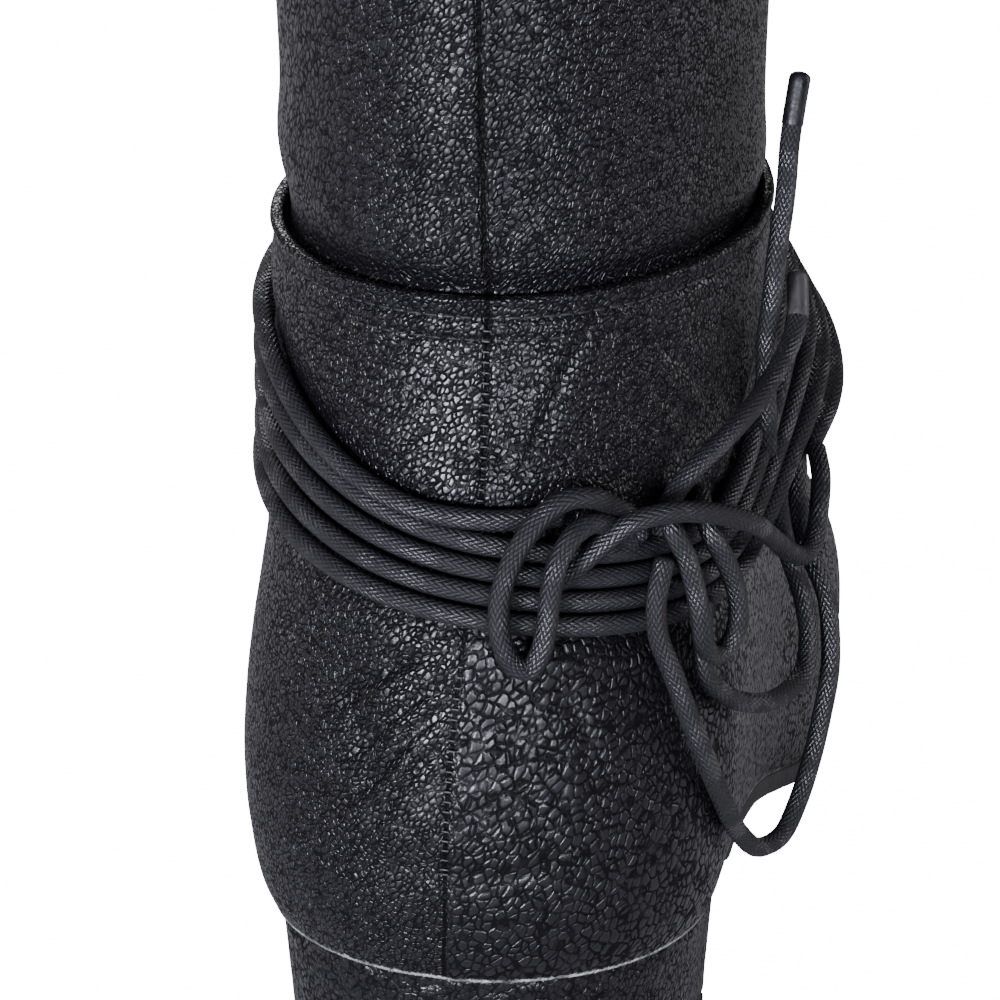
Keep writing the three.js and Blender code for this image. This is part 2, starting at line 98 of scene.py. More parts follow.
# %% Sizes in millimetres
LAST_LENGTH = 262.0
BALL_WIDTH = 92.0
TOE_SWING = 9.0
HEEL_HEIGHT = 38.0
TOE_SPRING = 9.0
QUARTER_HEIGHT = 98.5
ANKLE_WIDTH = 70.0
SHAFT_HEIGHT = 160.0
COLLAR_WIDTH = 94.0
COLLAR_DEPTH = 112.0
WALL = 1.7
QUARTER_STEP = 1.3
SOLE_THICKNESS = 4.0
HEEL_LENGTH = 60.0
HEEL_CENTRE = HEEL_LENGTH / 2
CORD = 3.0
EDGE_HEIGHT = HEEL_HEIGHT + QUARTER_HEIGHT
COLLAR_BACK = 4.0
LIFT_THICKNESS = 6.0
LIFT_GAP = 0.3
HEEL_TAPER = 2.2
THROAT_SLOPE = 6.0
SPRING_START = 0.74
TOE_START = 0.76
TOE_ROUNDNESS = 2.3
CROWN = 2.15
PIVOT_SHARE = 0.63


def to_metres(points):
    moved = np.asarray(points, float) / 1000
    moved[..., 1] -= HEEL_CENTRE / 1000
    return moved


def smooth_column(at, values):
    at, values = np.asarray(at, float), np.asarray(values, float)
    slope = np.diff(values) / np.diff(at)
    before, after = slope[:-1], slope[1:]
    same = before * after > 0
    middle = np.where(same, 2 * before * after / np.where(same, before + after, 1), 0)
    tangent = np.concatenate([slope[:1], middle, slope[-1:]])

    def read(t):
        t = np.clip(t, at[0], at[-1])
        i = np.clip(np.searchsorted(at, t, side="left") - 1, 0, len(at) - 2)
        h = at[i + 1] - at[i]
        u = (t - at[i]) / h
        v = 1 - u
        return (values[i] * v * v * (1 + 2 * u) + values[i + 1] * u * u * (3 - 2 * u)
                + h * tangent[i] * u * v * v - h * tangent[i + 1] * u * u * v)

    return read


def smooth_step(x, low, high):
    t = np.clip((x - low) / (high - low), 0, 1)
    return t * t * (3 - 2 * t)


def bell(distance, width):
    return np.exp(-np.square(distance / width))


print("the quarters' edge is", EDGE_HEIGHT, "mm over the floor")

# %% [markdown]
# ## The last
#
# A shoe's upper takes the shape of the last, a solid foot with a heel lift, an arch and a sprung toe.
# Its rings run from the seam behind to the centre line in front. Behind, a ring is a level slice of
# the leg. In front, it is a slice of upright cross sections. A fan of angles blends one into the other.

# %% Tables of the last
pitch_rows = np.array([
    (0.00, 1.00), (0.12, 0.93), (0.24, 0.83), (0.36, 0.61), (0.47, 0.29), (0.57, 0.05), (0.63, 0.0), (1.0, 0.0),
])
plan_rows = np.array([
    (0.00, 0.340, 0.340), (0.14, 0.385, 0.375), (0.30, 0.375, 0.345), (0.43, 0.375, 0.350),
    (0.54, 0.410, 0.430), (0.64, 0.422, 0.520), (0.73, 0.415, 0.560), (0.83, 0.385, 0.555),
    (0.92, 0.330, 0.500), (1.00, 0.260, 0.420),
])
# rise, lift, back, along, half, round, side, follow
foot_rows = np.array([
    (0.000, 0.000, 0.0130, 0.9850, 0.455, 0.122, 0.950, 1.0),
    (0.045, 0.038, 0.0065, 0.9960, 0.478, 0.126, 0.985, 1.0),
    (0.110, 0.095, 0.0020, 1.0000, 0.493, 0.130, 1.000, 1.0),
    (0.185, 0.180, 0.0000, 0.9920, 0.506, 0.134, 1.000, 1.0),
    (0.260, 0.270, 0.0010, 0.9620, 0.512, 0.138, 1.000, 1.0),
    (0.340, 0.365, 0.0045, 0.9050, 0.510, 0.142, 1.000, 0.9),
    (0.430, 0.465, 0.0110, 0.8200, 0.502, 0.147, 1.000, 0.7),
    (0.520, 0.580, 0.0190, 0.7250, 0.490, 0.153, 1.000, 0.5),
    (0.620, 0.700, 0.0285, 0.6300, 0.480, 0.159, 1.000, 0.3),
    (0.720, 0.835, 0.0380, 0.5450, 0.480, 0.166, 1.000, 0.15),
    (0.820, 0.980, 0.0465, 0.4850, 0.488, 0.171, 1.000, 0.0),
    (0.920, 1.130, 0.0525, 0.4480, 0.497, 0.175, 1.000, 0.0),
    (1.000, 1.230, 0.0555, 0.4310, 0.500, 0.178, 1.000, 0.0),
])
shaft_rows = np.array([
    (0.00, 0.00, 0.00), (0.12, 0.00, 0.08), (0.28, 0.04, 0.16), (0.46, 0.22, 0.36),
    (0.64, 0.50, 0.60), (0.82, 0.80, 0.84), (1.00, 1.00, 1.00),
])
pitch = smooth_column(pitch_rows[:, 0], pitch_rows[:, 1])
plan_lateral = smooth_column(plan_rows[:, 0], plan_rows[:, 1])
plan_medial = smooth_column(plan_rows[:, 0], plan_rows[:, 2])
level_count = np.arange(len(foot_rows))
rise, lift, back, along_share, half_share, round_share, side_trim, follow = (
    smooth_column(level_count, foot_rows[:, k]) for k in range(8)
)
grown = smooth_column(shaft_rows[:, 0], shaft_rows[:, 1])
leaning = smooth_column(shaft_rows[:, 0], shaft_rows[:, 2])
TOP_LEVEL = len(foot_rows) - 1
print("rings of the foot:", len(foot_rows), "rings of the shaft:", len(shaft_rows))

# %% Surface of the foot
def sole_line(y):
    spring = np.maximum(0, (y / LAST_LENGTH - SPRING_START) / (1 - SPRING_START))
    return SOLE_THICKNESS + (HEEL_HEIGHT - SOLE_THICKNESS) * pitch(y / LAST_LENGTH) + TOE_SPRING * spring ** 2


ridge_levels = np.arange(TOP_LEVEL, 1, -1)
ridge_y = along_share(ridge_levels) * LAST_LENGTH
ridge_behind = smooth_column(ridge_y, sole_line(ridge_y) + lift(ridge_levels) * QUARTER_HEIGHT)
WALL_TOP = foot_rows[2, 1] * QUARTER_HEIGHT


def ridge(y):
    throat = ridge_y[0]
    return np.where(y >= throat, ridge_behind(y), ridge_behind(throat) + (throat - y) * THROAT_SLOPE)


def foot_point(level, turn):
    """A point of the last. level counts rings up from the sole, turn goes round from the back seam."""
    level, turn = np.broadcast_arrays(np.asarray(level, float), np.asarray(turn, float))
    share = (1 - np.cos(turn)) / 2
    sign = np.where(np.sin(turn) >= 0, 1.0, -1.0)
    back_y, front_y = back(level) * LAST_LENGTH, along_share(level) * LAST_LENGTH
    rising, lifting = rise(level) * QUARTER_HEIGHT, lift(level) * QUARTER_HEIGHT
    y = back_y + (front_y - back_y) * share
    straight = (sole_line(back_y) + rising) * (1 - share) + (sole_line(front_y) + lifting) * share
    followed = sole_line(y) + rising * (1 - share) + lifting * share
    z = straight + (followed - straight) * follow(level)
    low_toe = (front_y > TOE_START * LAST_LENGTH) & (lifting <= WALL_TOP)
    place = np.where(low_toe, share, y / LAST_LENGTH)
    width = np.where(sign > 0, plan_lateral(place), plan_medial(place)) * BALL_WIDTH * side_trim(level)
    toe = np.maximum(0, (place - TOE_START) / (1 - TOE_START))
    rounding = np.maximum(0, 1 - toe ** TOE_ROUNDNESS) ** (1 / TOE_ROUNDNESS)
    tip = -TOE_SWING * sign
    flat = tip + (width - tip) * rounding
    wall_top = sole_line(y) + WALL_TOP
    over = np.clip((z - wall_top) / np.maximum(1, ridge(y) - wall_top), 0, 1)
    lean = tip * smooth_step(y / LAST_LENGTH, 0.4, 0.75)
    crowned = lean + (flat - lean) * (1 - over ** CROWN) ** (1 / CROWN)
    fore = np.where(z <= wall_top, flat, crowned)
    middle = back_y + round_share(level) * LAST_LENGTH
    behind = np.maximum(0, (middle - y) / (round_share(level) * LAST_LENGTH))
    ahead = np.maximum(0, (y - middle) / (front_y - middle))
    hind = half_share(level) * ANKLE_WIDTH * np.sqrt(np.maximum(0, 1 - behind ** 2))
    hind = hind * np.sqrt(np.maximum(0, 1 - ahead ** 2))
    fan = np.arctan2(PIVOT_SHARE * LAST_LENGTH - y, np.maximum(EDGE_HEIGHT - z, 1e-6))
    leg = np.where(z >= EDGE_HEIGHT, 1, smooth_step(fan, 0.25, 1.15))
    return np.stack([sign * (fore * (1 - leg) + hind * leg), y, z], axis=-1)


ANKLE_BACK = back(TOP_LEVEL) * LAST_LENGTH
ANKLE_FRONT = along_share(TOP_LEVEL) * LAST_LENGTH


def shaft_point(up, turn):
    """A point of the shaft's surface. up is a share of the shaft's height."""
    up, turn = np.broadcast_arrays(np.asarray(up, float), np.asarray(turn, float))
    share = (1 - np.cos(turn)) / 2
    width = ANKLE_WIDTH + (COLLAR_WIDTH - ANKLE_WIDTH) * grown(up)
    depth = (ANKLE_FRONT - ANKLE_BACK) * (1 - grown(up)) + COLLAR_DEPTH * grown(up)
    back_y = ANKLE_BACK + (COLLAR_BACK - ANKLE_BACK) * leaning(up)
    front_z = sole_line(ANKLE_FRONT) + lift(TOP_LEVEL) * QUARTER_HEIGHT
    edge_z = EDGE_HEIGHT * (1 - share) + front_z * share
    z = edge_z + (EDGE_HEIGHT + SHAFT_HEIGHT - edge_z) * up
    return np.stack([width / 2 * np.sin(turn), back_y + depth * share, z], axis=-1)


print("instep at mid foot:", foot_point(9, math.pi).round(1), "collar back:", shaft_point(1, 0).round(1))

# %% [markdown]
# ## Rings into meshes
#
# Nearly every piece here is a stack of closed rings: leather, heel, sole and cord alike. One helper
# turns an array of rings into a mesh, so the work goes into where the points lie. A second one gives
# the direction that points away from the surface, which thickness and creases both follow.

# %% Ring helpers
def ring_normals(rings):
    across = np.roll(rings, -1, axis=1) - np.roll(rings, 1, axis=1)
    up = np.empty_like(rings)
    up[1:-1] = rings[2:] - rings[:-2]
    up[0], up[-1] = rings[1] - rings[0], rings[-1] - rings[-2]
    normal = np.cross(across, up)
    return normal / np.maximum(np.linalg.norm(normal, axis=-1, keepdims=True), 1e-9)


def add_mesh(name, points, faces):
    mesh = bpy.data.meshes.new(name)
    mesh.from_pydata(to_metres(points).tolist(), [], faces)
    mesh.polygons.foreach_set("use_smooth", [True] * len(mesh.polygons))
    mesh.update()
    made = bpy.data.objects.new(name, mesh)
    bpy.context.scene.collection.objects.link(made)
    return made


def ring_faces(rows, columns):
    r, c = np.meshgrid(np.arange(rows - 1), np.arange(columns), indexing="ij")
    n = (c + 1) % columns
    quads = np.stack([r * columns + c, r * columns + n, (r + 1) * columns + n, (r + 1) * columns + c], axis=-1)
    return quads.reshape(-1, 4)


def ring_mesh(name, rings, caps=False):
    rows, columns = rings.shape[:2]
    faces = ring_faces(rows, columns).tolist()
    if caps:
        faces.append(list(range(columns))[::-1])
        faces.append([(rows - 1) * columns + c for c in range(columns)])
    return add_mesh(name, rings.reshape(-1, 3), faces)


def store(obj, name, values):
    layer = obj.data.attributes.new(name, "FLOAT", "POINT")
    layer.data.foreach_set("value", np.asarray(values, np.float32).ravel())


def finish_piece(obj, material, slot, *nodes):
    obj.data.materials.append(material)
    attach(obj, "root")
    if nodes:
        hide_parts(*nodes)
    print(obj.name, "has", sum(len(p.vertices) - 2 for p in obj.data.polygons), "triangles")


def on_leather(turn, height, off):
    """A point outside the quarters at a turn round the leg, a height over the floor and a distance off."""
    turn, height = np.broadcast_arrays(np.asarray(turn, float), np.asarray(height, float))
    low, high = np.full(turn.shape, 3.0), np.full(turn.shape, float(TOP_LEVEL))
    for _ in range(30):
        middle = (low + high) / 2
        under = foot_point(middle, turn)[..., 2] < height
        low, high = np.where(under, middle, low), np.where(under, high, middle)
    level = np.minimum(low, TOP_LEVEL - 0.02)
    across = foot_point(level, turn + 0.02) - foot_point(level, turn - 0.02)
    up = foot_point(level + 0.02, turn) - foot_point(level - 0.02, turn)
    normal = np.cross(across, up)
    normal /= np.linalg.norm(normal, axis=-1, keepdims=True)
    return foot_point(low, turn) + normal * (QUARTER_STEP + np.asarray(off, float)[..., None])


print("leather behind the ankle:", on_leather(0.0, 110.0, 0.0).round(1))

# %% [markdown]
# ## Shader effects that several finishes share
#
# Grain, braid and dust are built once, as node groups with named sockets. Each material then sets its
# own cell size and strength. A group gives out only heights and masks. The Principled shader stays in
# the material, where its gloss is set as plain numbers.

# %% Node group helpers
def new_group(name, inputs, outputs):
    group = bpy.data.node_groups.new(name, "ShaderNodeTree")
    for title, kind, value in inputs:
        socket = group.interface.new_socket(title, in_out="INPUT", socket_type=kind)
        if value is not None:
            socket.default_value = value
    for title, kind in outputs:
        group.interface.new_socket(title, in_out="OUTPUT", socket_type=kind)
    return group, group.nodes.new("NodeGroupInput"), group.nodes.new("NodeGroupOutput")


def plug(tree, target, value):
    if isinstance(value, bpy.types.NodeSocket):
        tree.links.new(value, target)
    else:
        target.default_value = value


def math_node(tree, operation, a, b=0.0, clamp=False):
    node = tree.nodes.new("ShaderNodeMath")
    node.operation = operation
    node.use_clamp = clamp
    for socket, value in zip(node.inputs, (a, b)):
        plug(tree, socket, value)
    return node.outputs[0]


def ramp(tree, value, low, high, start=0.0, end=1.0):
    node = tree.nodes.new("ShaderNodeMapRange")
    node.interpolation_type = "SMOOTHSTEP"
    plug(tree, node.inputs["Value"], value)
    for title, number in (("From Min", low), ("From Max", high), ("To Min", start), ("To Max", end)):
        plug(tree, node.inputs[title], number)
    return node.outputs["Result"]


def noise(tree, vector, scale, detail=3.0, roughness=0.5, distortion=0.0):
    node = tree.nodes.new("ShaderNodeTexNoise")
    for title, value in (("Vector", vector), ("Scale", scale), ("Detail", detail),
                         ("Roughness", roughness), ("Distortion", distortion)):
        plug(tree, node.inputs[title], value)
    return node


def vector_node(tree, operation, a, b):
    node = tree.nodes.new("ShaderNodeVectorMath")
    node.operation = operation
    plug(tree, node.inputs[0], a)
    plug(tree, node.inputs["Scale"] if operation == "SCALE" else node.inputs[1], b)
    return node.outputs[0]


def mix_colour(tree, factor, a, b):
    node = tree.nodes.new("ShaderNodeMix")
    node.data_type = "RGBA"
    plug(tree, node.inputs[0], factor)
    plug(tree, node.inputs[6], a)
    plug(tree, node.inputs[7], b)
    return node.outputs[2]


print("node helpers ready")

# %% Pebbled grain
# Tumbled leather shows flat islands with narrow valleys between them. The valleys come from the distance to the
# nearest cell edge. The place is shaken a little first, so that no island is a plain polygon.
grain_group, grain_in, grain_out = new_group(
    "pebbled grain",
    [("Place", "NodeSocketVector", None), ("Cell", "NodeSocketFloat", 1.2), ("Shake", "NodeSocketFloat", 0.9)],
    [("Height", "NodeSocketFloat"), ("Valley", "NodeSocketFloat")],
)
per_cell = math_node(grain_group, "DIVIDE", 1.0, grain_in.outputs["Cell"])
shake = noise(grain_group, grain_in.outputs["Place"], math_node(grain_group, "MULTIPLY", per_cell, 0.8), 2.0)
shaken = vector_node(grain_group, "SUBTRACT", shake.outputs["Color"], (0.5, 0.5, 0.5))
shaken = vector_node(grain_group, "SCALE", shaken, math_node(
    grain_group, "MULTIPLY", grain_in.outputs["Cell"], grain_in.outputs["Shake"]))
grain_place = vector_node(grain_group, "ADD", grain_in.outputs["Place"], shaken)
cells = grain_group.nodes.new("ShaderNodeTexVoronoi")
cells.feature = "DISTANCE_TO_EDGE"
plug(grain_group, cells.inputs["Vector"], grain_place)
plug(grain_group, cells.inputs["Scale"], per_cell)
domes = grain_group.nodes.new("ShaderNodeTexVoronoi")
domes.feature = "F1"
plug(grain_group, domes.inputs["Vector"], grain_place)
plug(grain_group, domes.inputs["Scale"], per_cell)
island = ramp(grain_group, cells.outputs["Distance"], 0.0, 0.24)
depth = noise(grain_group, grain_place, math_node(grain_group, "MULTIPLY", per_cell, 0.55), 2.0)
depth = ramp(grain_group, depth.outputs["Fac"], 0.36, 0.6, 0.6, 1.0)
valley = math_node(grain_group, "MULTIPLY", math_node(grain_group, "SUBTRACT", 1.0, island), depth)
dome = math_node(grain_group, "MULTIPLY", domes.outputs["Distance"], 0.45)
plug(grain_group, grain_out.inputs["Height"], math_node(
    grain_group, "SUBTRACT", math_node(grain_group, "SUBTRACT", 1.0, valley), dome))
plug(grain_group, grain_out.inputs["Valley"], valley)
print("group:", grain_group.name)

# %% Round braid
# A waxed cord is a round braid of strands that run both ways and pass over two and under two, which draws
# columns of small Vs. U counts millimetres along the cord and V goes once round it. Two slanting counts make
# the strands, and the difference of their whole parts says which one lies on top.
braid_group, braid_in, braid_out = new_group(
    "round braid",
    [("Along", "NodeSocketFloat", 0.0), ("Around", "NodeSocketFloat", 0.0),
     ("Strands", "NodeSocketFloat", 12.0), ("Pitch", "NodeSocketFloat", 1.25)],
    [("Height", "NodeSocketFloat")],
)
turns_round = math_node(braid_group, "MULTIPLY", braid_in.outputs["Around"], braid_in.outputs["Strands"])
turns_along = math_node(braid_group, "DIVIDE", braid_in.outputs["Along"], braid_in.outputs["Pitch"])
right_hand = math_node(braid_group, "ADD", turns_along, turns_round)
left_hand = math_node(braid_group, "SUBTRACT", turns_along, turns_round)
crossings = math_node(braid_group, "SUBTRACT", math_node(braid_group, "FLOOR", right_hand),
                      math_node(braid_group, "FLOOR", left_hand))
on_top = math_node(braid_group, "LESS_THAN", math_node(braid_group, "MODULO", crossings, 4.0), 1.5)


def strand(count, other):
    across = math_node(braid_group, "ABSOLUTE", math_node(
        braid_group, "SINE", math_node(braid_group, "MULTIPLY", count, math.pi)))
    ends = math_node(braid_group, "ABSOLUTE", math_node(
        braid_group, "SINE", math_node(braid_group, "MULTIPLY", other, math.pi)))
    rounded = math_node(braid_group, "POWER", across, 0.7)
    return math_node(braid_group, "MULTIPLY", rounded, math_node(braid_group, "POWER", ends, 0.22))


first, second = strand(right_hand, left_hand), strand(left_hand, right_hand)
chosen = math_node(braid_group, "ADD", math_node(braid_group, "MULTIPLY", first, on_top), math_node(
    braid_group, "MULTIPLY", second, math_node(braid_group, "SUBTRACT", 1.0, on_top)))
plug(braid_group, braid_out.inputs["Height"], chosen)
print("group:", braid_group.name)

# %% Dust and rub
# Handled black leather is never one black. Soft clouds of rubbed, slightly paler leather and a few pale
# specks of dust break it up.
rub_group, rub_in, rub_out = new_group(
    "rub and dust",
    [("Place", "NodeSocketVector", None), ("Cloud", "NodeSocketFloat", 18.0)],
    [("Rub", "NodeSocketFloat"), ("Specks", "NodeSocketFloat")],
)
cloud = noise(rub_group, rub_in.outputs["Place"], math_node(
    rub_group, "DIVIDE", 1.0, rub_in.outputs["Cloud"]), 4.0, 0.6)
plug(rub_group, rub_out.inputs["Rub"], ramp(rub_group, cloud.outputs["Fac"], 0.38, 0.68))
speck = noise(rub_group, rub_in.outputs["Place"], 2.4, 1.0)
plug(rub_group, rub_out.inputs["Specks"], ramp(rub_group, speck.outputs["Fac"], 0.76, 0.82))
print("group:", rub_group.name)


def add_group(tree, group, **values):
    node = tree.nodes.new("ShaderNodeGroup")
    node.node_tree = group
    for title, value in values.items():
        plug(tree, node.inputs[title], value)
    return node


def place_in_mm(tree):
    """Object coordinates in millimetres, so that every grain size is a real size."""
    coordinates = tree.nodes.new("ShaderNodeTexCoord")
    return vector_node(tree, "MULTIPLY", coordinates.outputs["Object"], (1000.0, 1000.0, 1000.0))


def attribute(tree, name):
    node = tree.nodes.new("ShaderNodeAttribute")
    node.attribute_name = name
    return node.outputs["Fac"]


def new_material(name):
    material = bpy.data.materials.new(name)
    material.use_nodes = True
    tree = material.node_tree
    return material, tree, tree.nodes["Principled BSDF"]


def bump(tree, shader, height, distance, strength=1.0, under=None):
    node = tree.nodes.new("ShaderNodeBump")
    node.inputs["Distance"].default_value = distance / 1000
    node.inputs["Strength"].default_value = strength
    tree.links.new(height, node.inputs["Height"])
    if under is not None:
        tree.links.new(under, node.inputs["Normal"])
    tree.links.new(node.outputs["Normal"], shader.inputs["Normal"])
    tree.links.new(node.outputs["Normal"], shader.inputs["Coat Normal"])
    return node.outputs["Normal"]


# %% [markdown]
# ## Cord material
#
# Waxed cotton is dull in the dips of the braid and shines on the strands' backs, where the wax is
# rubbed smooth. The braid's height drives the bump, the roughness and a painted shade that darkens the colour in
# the braid's dips.

# %% Waxed cord
cord_black, tree, shader = new_material("waxed cord")
uv = tree.nodes.new("ShaderNodeUVMap")
uv.uv_map = "cord"
split = tree.nodes.new("ShaderNodeSeparateXYZ")
tree.links.new(uv.outputs["UV"], split.inputs[0])
braid = add_group(tree, braid_group, Along=split.outputs["X"], Around=split.outputs["Y"],
                  Strands=12.0, Pitch=1.25).outputs["Height"]
spot = place_in_mm(tree)
fibre = noise(tree, spot, 5.0, 4.0, 0.65).outputs["Fac"]
wax = ramp(tree, noise(tree, spot, 0.16, 3.0, 0.6).outputs["Fac"], 0.4, 0.62)
# painted shade: the base colour is darker in the braid's dips and paler on the strands' backs
braid_painted_shade = mix_colour(tree, braid, (0.0010, 0.0010, 0.0014, 1), (0.0058, 0.0058, 0.0085, 1))
tree.links.new(mix_colour(tree, math_node(tree, "MULTIPLY", wax, 0.45), braid_painted_shade, (0.010, 0.010, 0.0135, 1)),
               shader.inputs["Base Color"])
worn = math_node(tree, "MULTIPLY", braid, wax)
tree.links.new(ramp(tree, worn, 0.1, 0.9, 0.62, 0.28), shader.inputs["Roughness"])
tree.links.new(ramp(tree, worn, 0.15, 0.9, 0.0, 0.9), shader.inputs["Coat Weight"])
shader.inputs["Coat Roughness"].default_value = 0.2
height = math_node(tree, "ADD", braid, math_node(tree, "MULTIPLY", fibre, 0.45))
bump(tree, shader, height, 0.16)
print("material:", cord_black.name)

# %% Heat-shrunk cord sleeves
def sleeve_material(name, dark, pale):
    material, tree, shader = new_material(name)
    spot = place_in_mm(tree)
    cloud = noise(tree, spot, 0.7, 4.0).outputs["Fac"]
    tree.links.new(mix_colour(tree, cloud, dark, pale), shader.inputs["Base Color"])
    tree.links.new(ramp(tree, cloud, 0.3, 0.7, 0.34, 0.5), shader.inputs["Roughness"])
    bump(tree, shader, noise(tree, spot, 1.6, 3.0).outputs["Fac"], 0.12, 0.6)
    return material


sleeve_grey = sleeve_material("grey cord sleeve", (0.030, 0.029, 0.029, 1), (0.055, 0.052, 0.052, 1))
sleeve_dark = sleeve_material("dark cord sleeve", (0.003, 0.003, 0.004, 1), (0.007, 0.007, 0.009, 1))
print("materials:", sleeve_grey.name, sleeve_dark.name)

# %% [markdown]
# ## The cord
#
# One cord 3 mm thick is wound round the ankle five times and knotted behind, to the right of the seam.
# Its turns lie on the quarters and stand off them on the right, where they bunch. They follow the
# leather, so their path is worked out from it. The knot, the two hanging loops and the two ends
# hang free, and their routes are lists of points.

# %% Smooth path and tube
def smooth_path(points, spacing):
    """A centripetal curve through the points, then points along it at even spacing."""
    points = np.asarray(points, float)
    ends = np.concatenate([[2 * points[0] - points[1]], points, [2 * points[-1] - points[-2]]])
    pieces = []
    for p0, p1, p2, p3 in zip(ends[:-3], ends[1:-2], ends[2:-1], ends[3:]):
        d0, d1, d2 = (np.sqrt(np.linalg.norm(b - a)) for a, b in ((p0, p1), (p1, p2), (p2, p3)))
        t1 = ((p1 - p0) / d0 - (p2 - p0) / (d0 + d1) + (p2 - p1) / d1) * d1
        t2 = ((p2 - p1) / d1 - (p3 - p1) / (d1 + d2) + (p3 - p2) / d2) * d1
        u = np.linspace(0, 1, 24, endpoint=False)[:, None]
        square, cube = -3 * p1 + 3 * p2 - 2 * t1 - t2, 2 * p1 - 2 * p2 + t1 + t2
        pieces.append(p1 + t1 * u + square * u ** 2 + cube * u ** 3)
    dense = np.concatenate([*pieces, points[-1:]])
    run = np.concatenate([[0], np.cumsum(np.linalg.norm(np.diff(dense, axis=0), axis=1))])
    even = np.linspace(0, run[-1], int(run[-1] / spacing) + 1)
    return np.stack([np.interp(even, run, dense[:, k]) for k in range(3)], axis=-1)


def tube_rings(path, radius, sides):
    """Rings round a path that never twist, with a small dome at each end."""
    tangent = np.gradient(path, axis=0)
    tangent /= np.linalg.norm(tangent, axis=1, keepdims=True)
    side = np.cross(tangent[0], (0.3, 0.2, 0.93))
    side /= np.linalg.norm(side)
    turn = np.linspace(0, 2 * math.pi, sides, endpoint=False)
    rings = []
    for point, ahead in zip(path, tangent):
        side = side - ahead * np.dot(side, ahead)
        side /= np.linalg.norm(side)
        other = np.cross(ahead, side)
        rings.append(point + radius * (np.cos(turn)[:, None] * side + np.sin(turn)[:, None] * other))
    rings = np.array(rings)
    dome = np.array([0.25, 0.62, 0.88])
    reach = radius * 0.6 * np.sqrt(1 - dome ** 2)
    start = [path[0] + (rings[0] - path[0]) * s - tangent[0] * r for s, r in zip(dome, reach)]
    end = [path[-1] + (rings[-1] - path[-1]) * s + tangent[-1] * r for s, r in zip(dome[::-1], reach[::-1])]
    return np.concatenate([start, rings, end])


def cord_mesh(name, path, radius=CORD / 2, sides=16):
    rings = tube_rings(path, radius, sides)
    rows = len(rings)
    made = ring_mesh(name, rings, caps=True)
    step = np.linalg.norm(np.diff(rings.mean(axis=1), axis=0), axis=1)
    along = np.concatenate([[0], np.cumsum(step)])
    r, c = np.meshgrid(np.arange(rows - 1), np.arange(sides), indexing="ij")
    u = np.stack([along[r], along[r], along[r + 1], along[r + 1]], axis=-1)
    v = np.stack([c, c + 1, c + 1, c], axis=-1) / sides
    layer = made.data.uv_layers.new(name="cord")
    values = np.zeros((len(made.data.loops), 2))
    values[: u.size] = np.stack([u.ravel(), v.ravel()], axis=-1)
    layer.data.foreach_set("uv", values.ravel())
    return made


# %% The wound turns
turn_rows = [
    # at the back, left side, front, right side and under the knot, then how far it stands off at the right
    (0.690, 0.873, 0.975, 0.843, 0.616, 0.10),
    (0.658, 0.822, 0.939, 0.807, 0.582, 0.90),
    (0.624, 0.772, 0.904, 0.766, 0.548, 1.75),
    (0.590, 0.721, 0.868, 0.721, 0.514, 2.60),
    (0.556, 0.675, 0.832, 0.675, 0.480, 3.45),
]
wound = [(-18, turn_rows[0][0], 0.0)]
for k, (behind, left, front, right, knot, stand) in enumerate(turn_rows):
    last_turn = k == len(turn_rows) - 1
    wound += [(360 * k - 5, behind, 0.0), (360 * k + 68, left, 0.0), (360 * k + 180, front, 0.0),
              (360 * k + 265, right, stand * CORD)]
    wound.append((360 * k + 282, 0.615, 2.4 * CORD) if last_turn else (360 * k + 316, knot, 0.0))
wound = np.array(wound)
wound_at = np.linspace(wound[0, 0], wound[-1, 0], 148)
wound_height = HEEL_HEIGHT + QUARTER_HEIGHT * smooth_column(wound[:, 0], wound[:, 1])(wound_at)
wound_off = CORD / 2 + 0.25 + smooth_column(wound[:, 0], wound[:, 2])(wound_at)
wound_path = smooth_path(on_leather(-np.radians(wound_at), wound_height, wound_off), 0.7)
wraps = cord_mesh("cord_turns", wound_path)
finish_piece(wraps, cord_black, "cord", "lace_wraps")
print("length of the turns: %.0f mm" % (0.7 * (len(wound_path) - 1)))

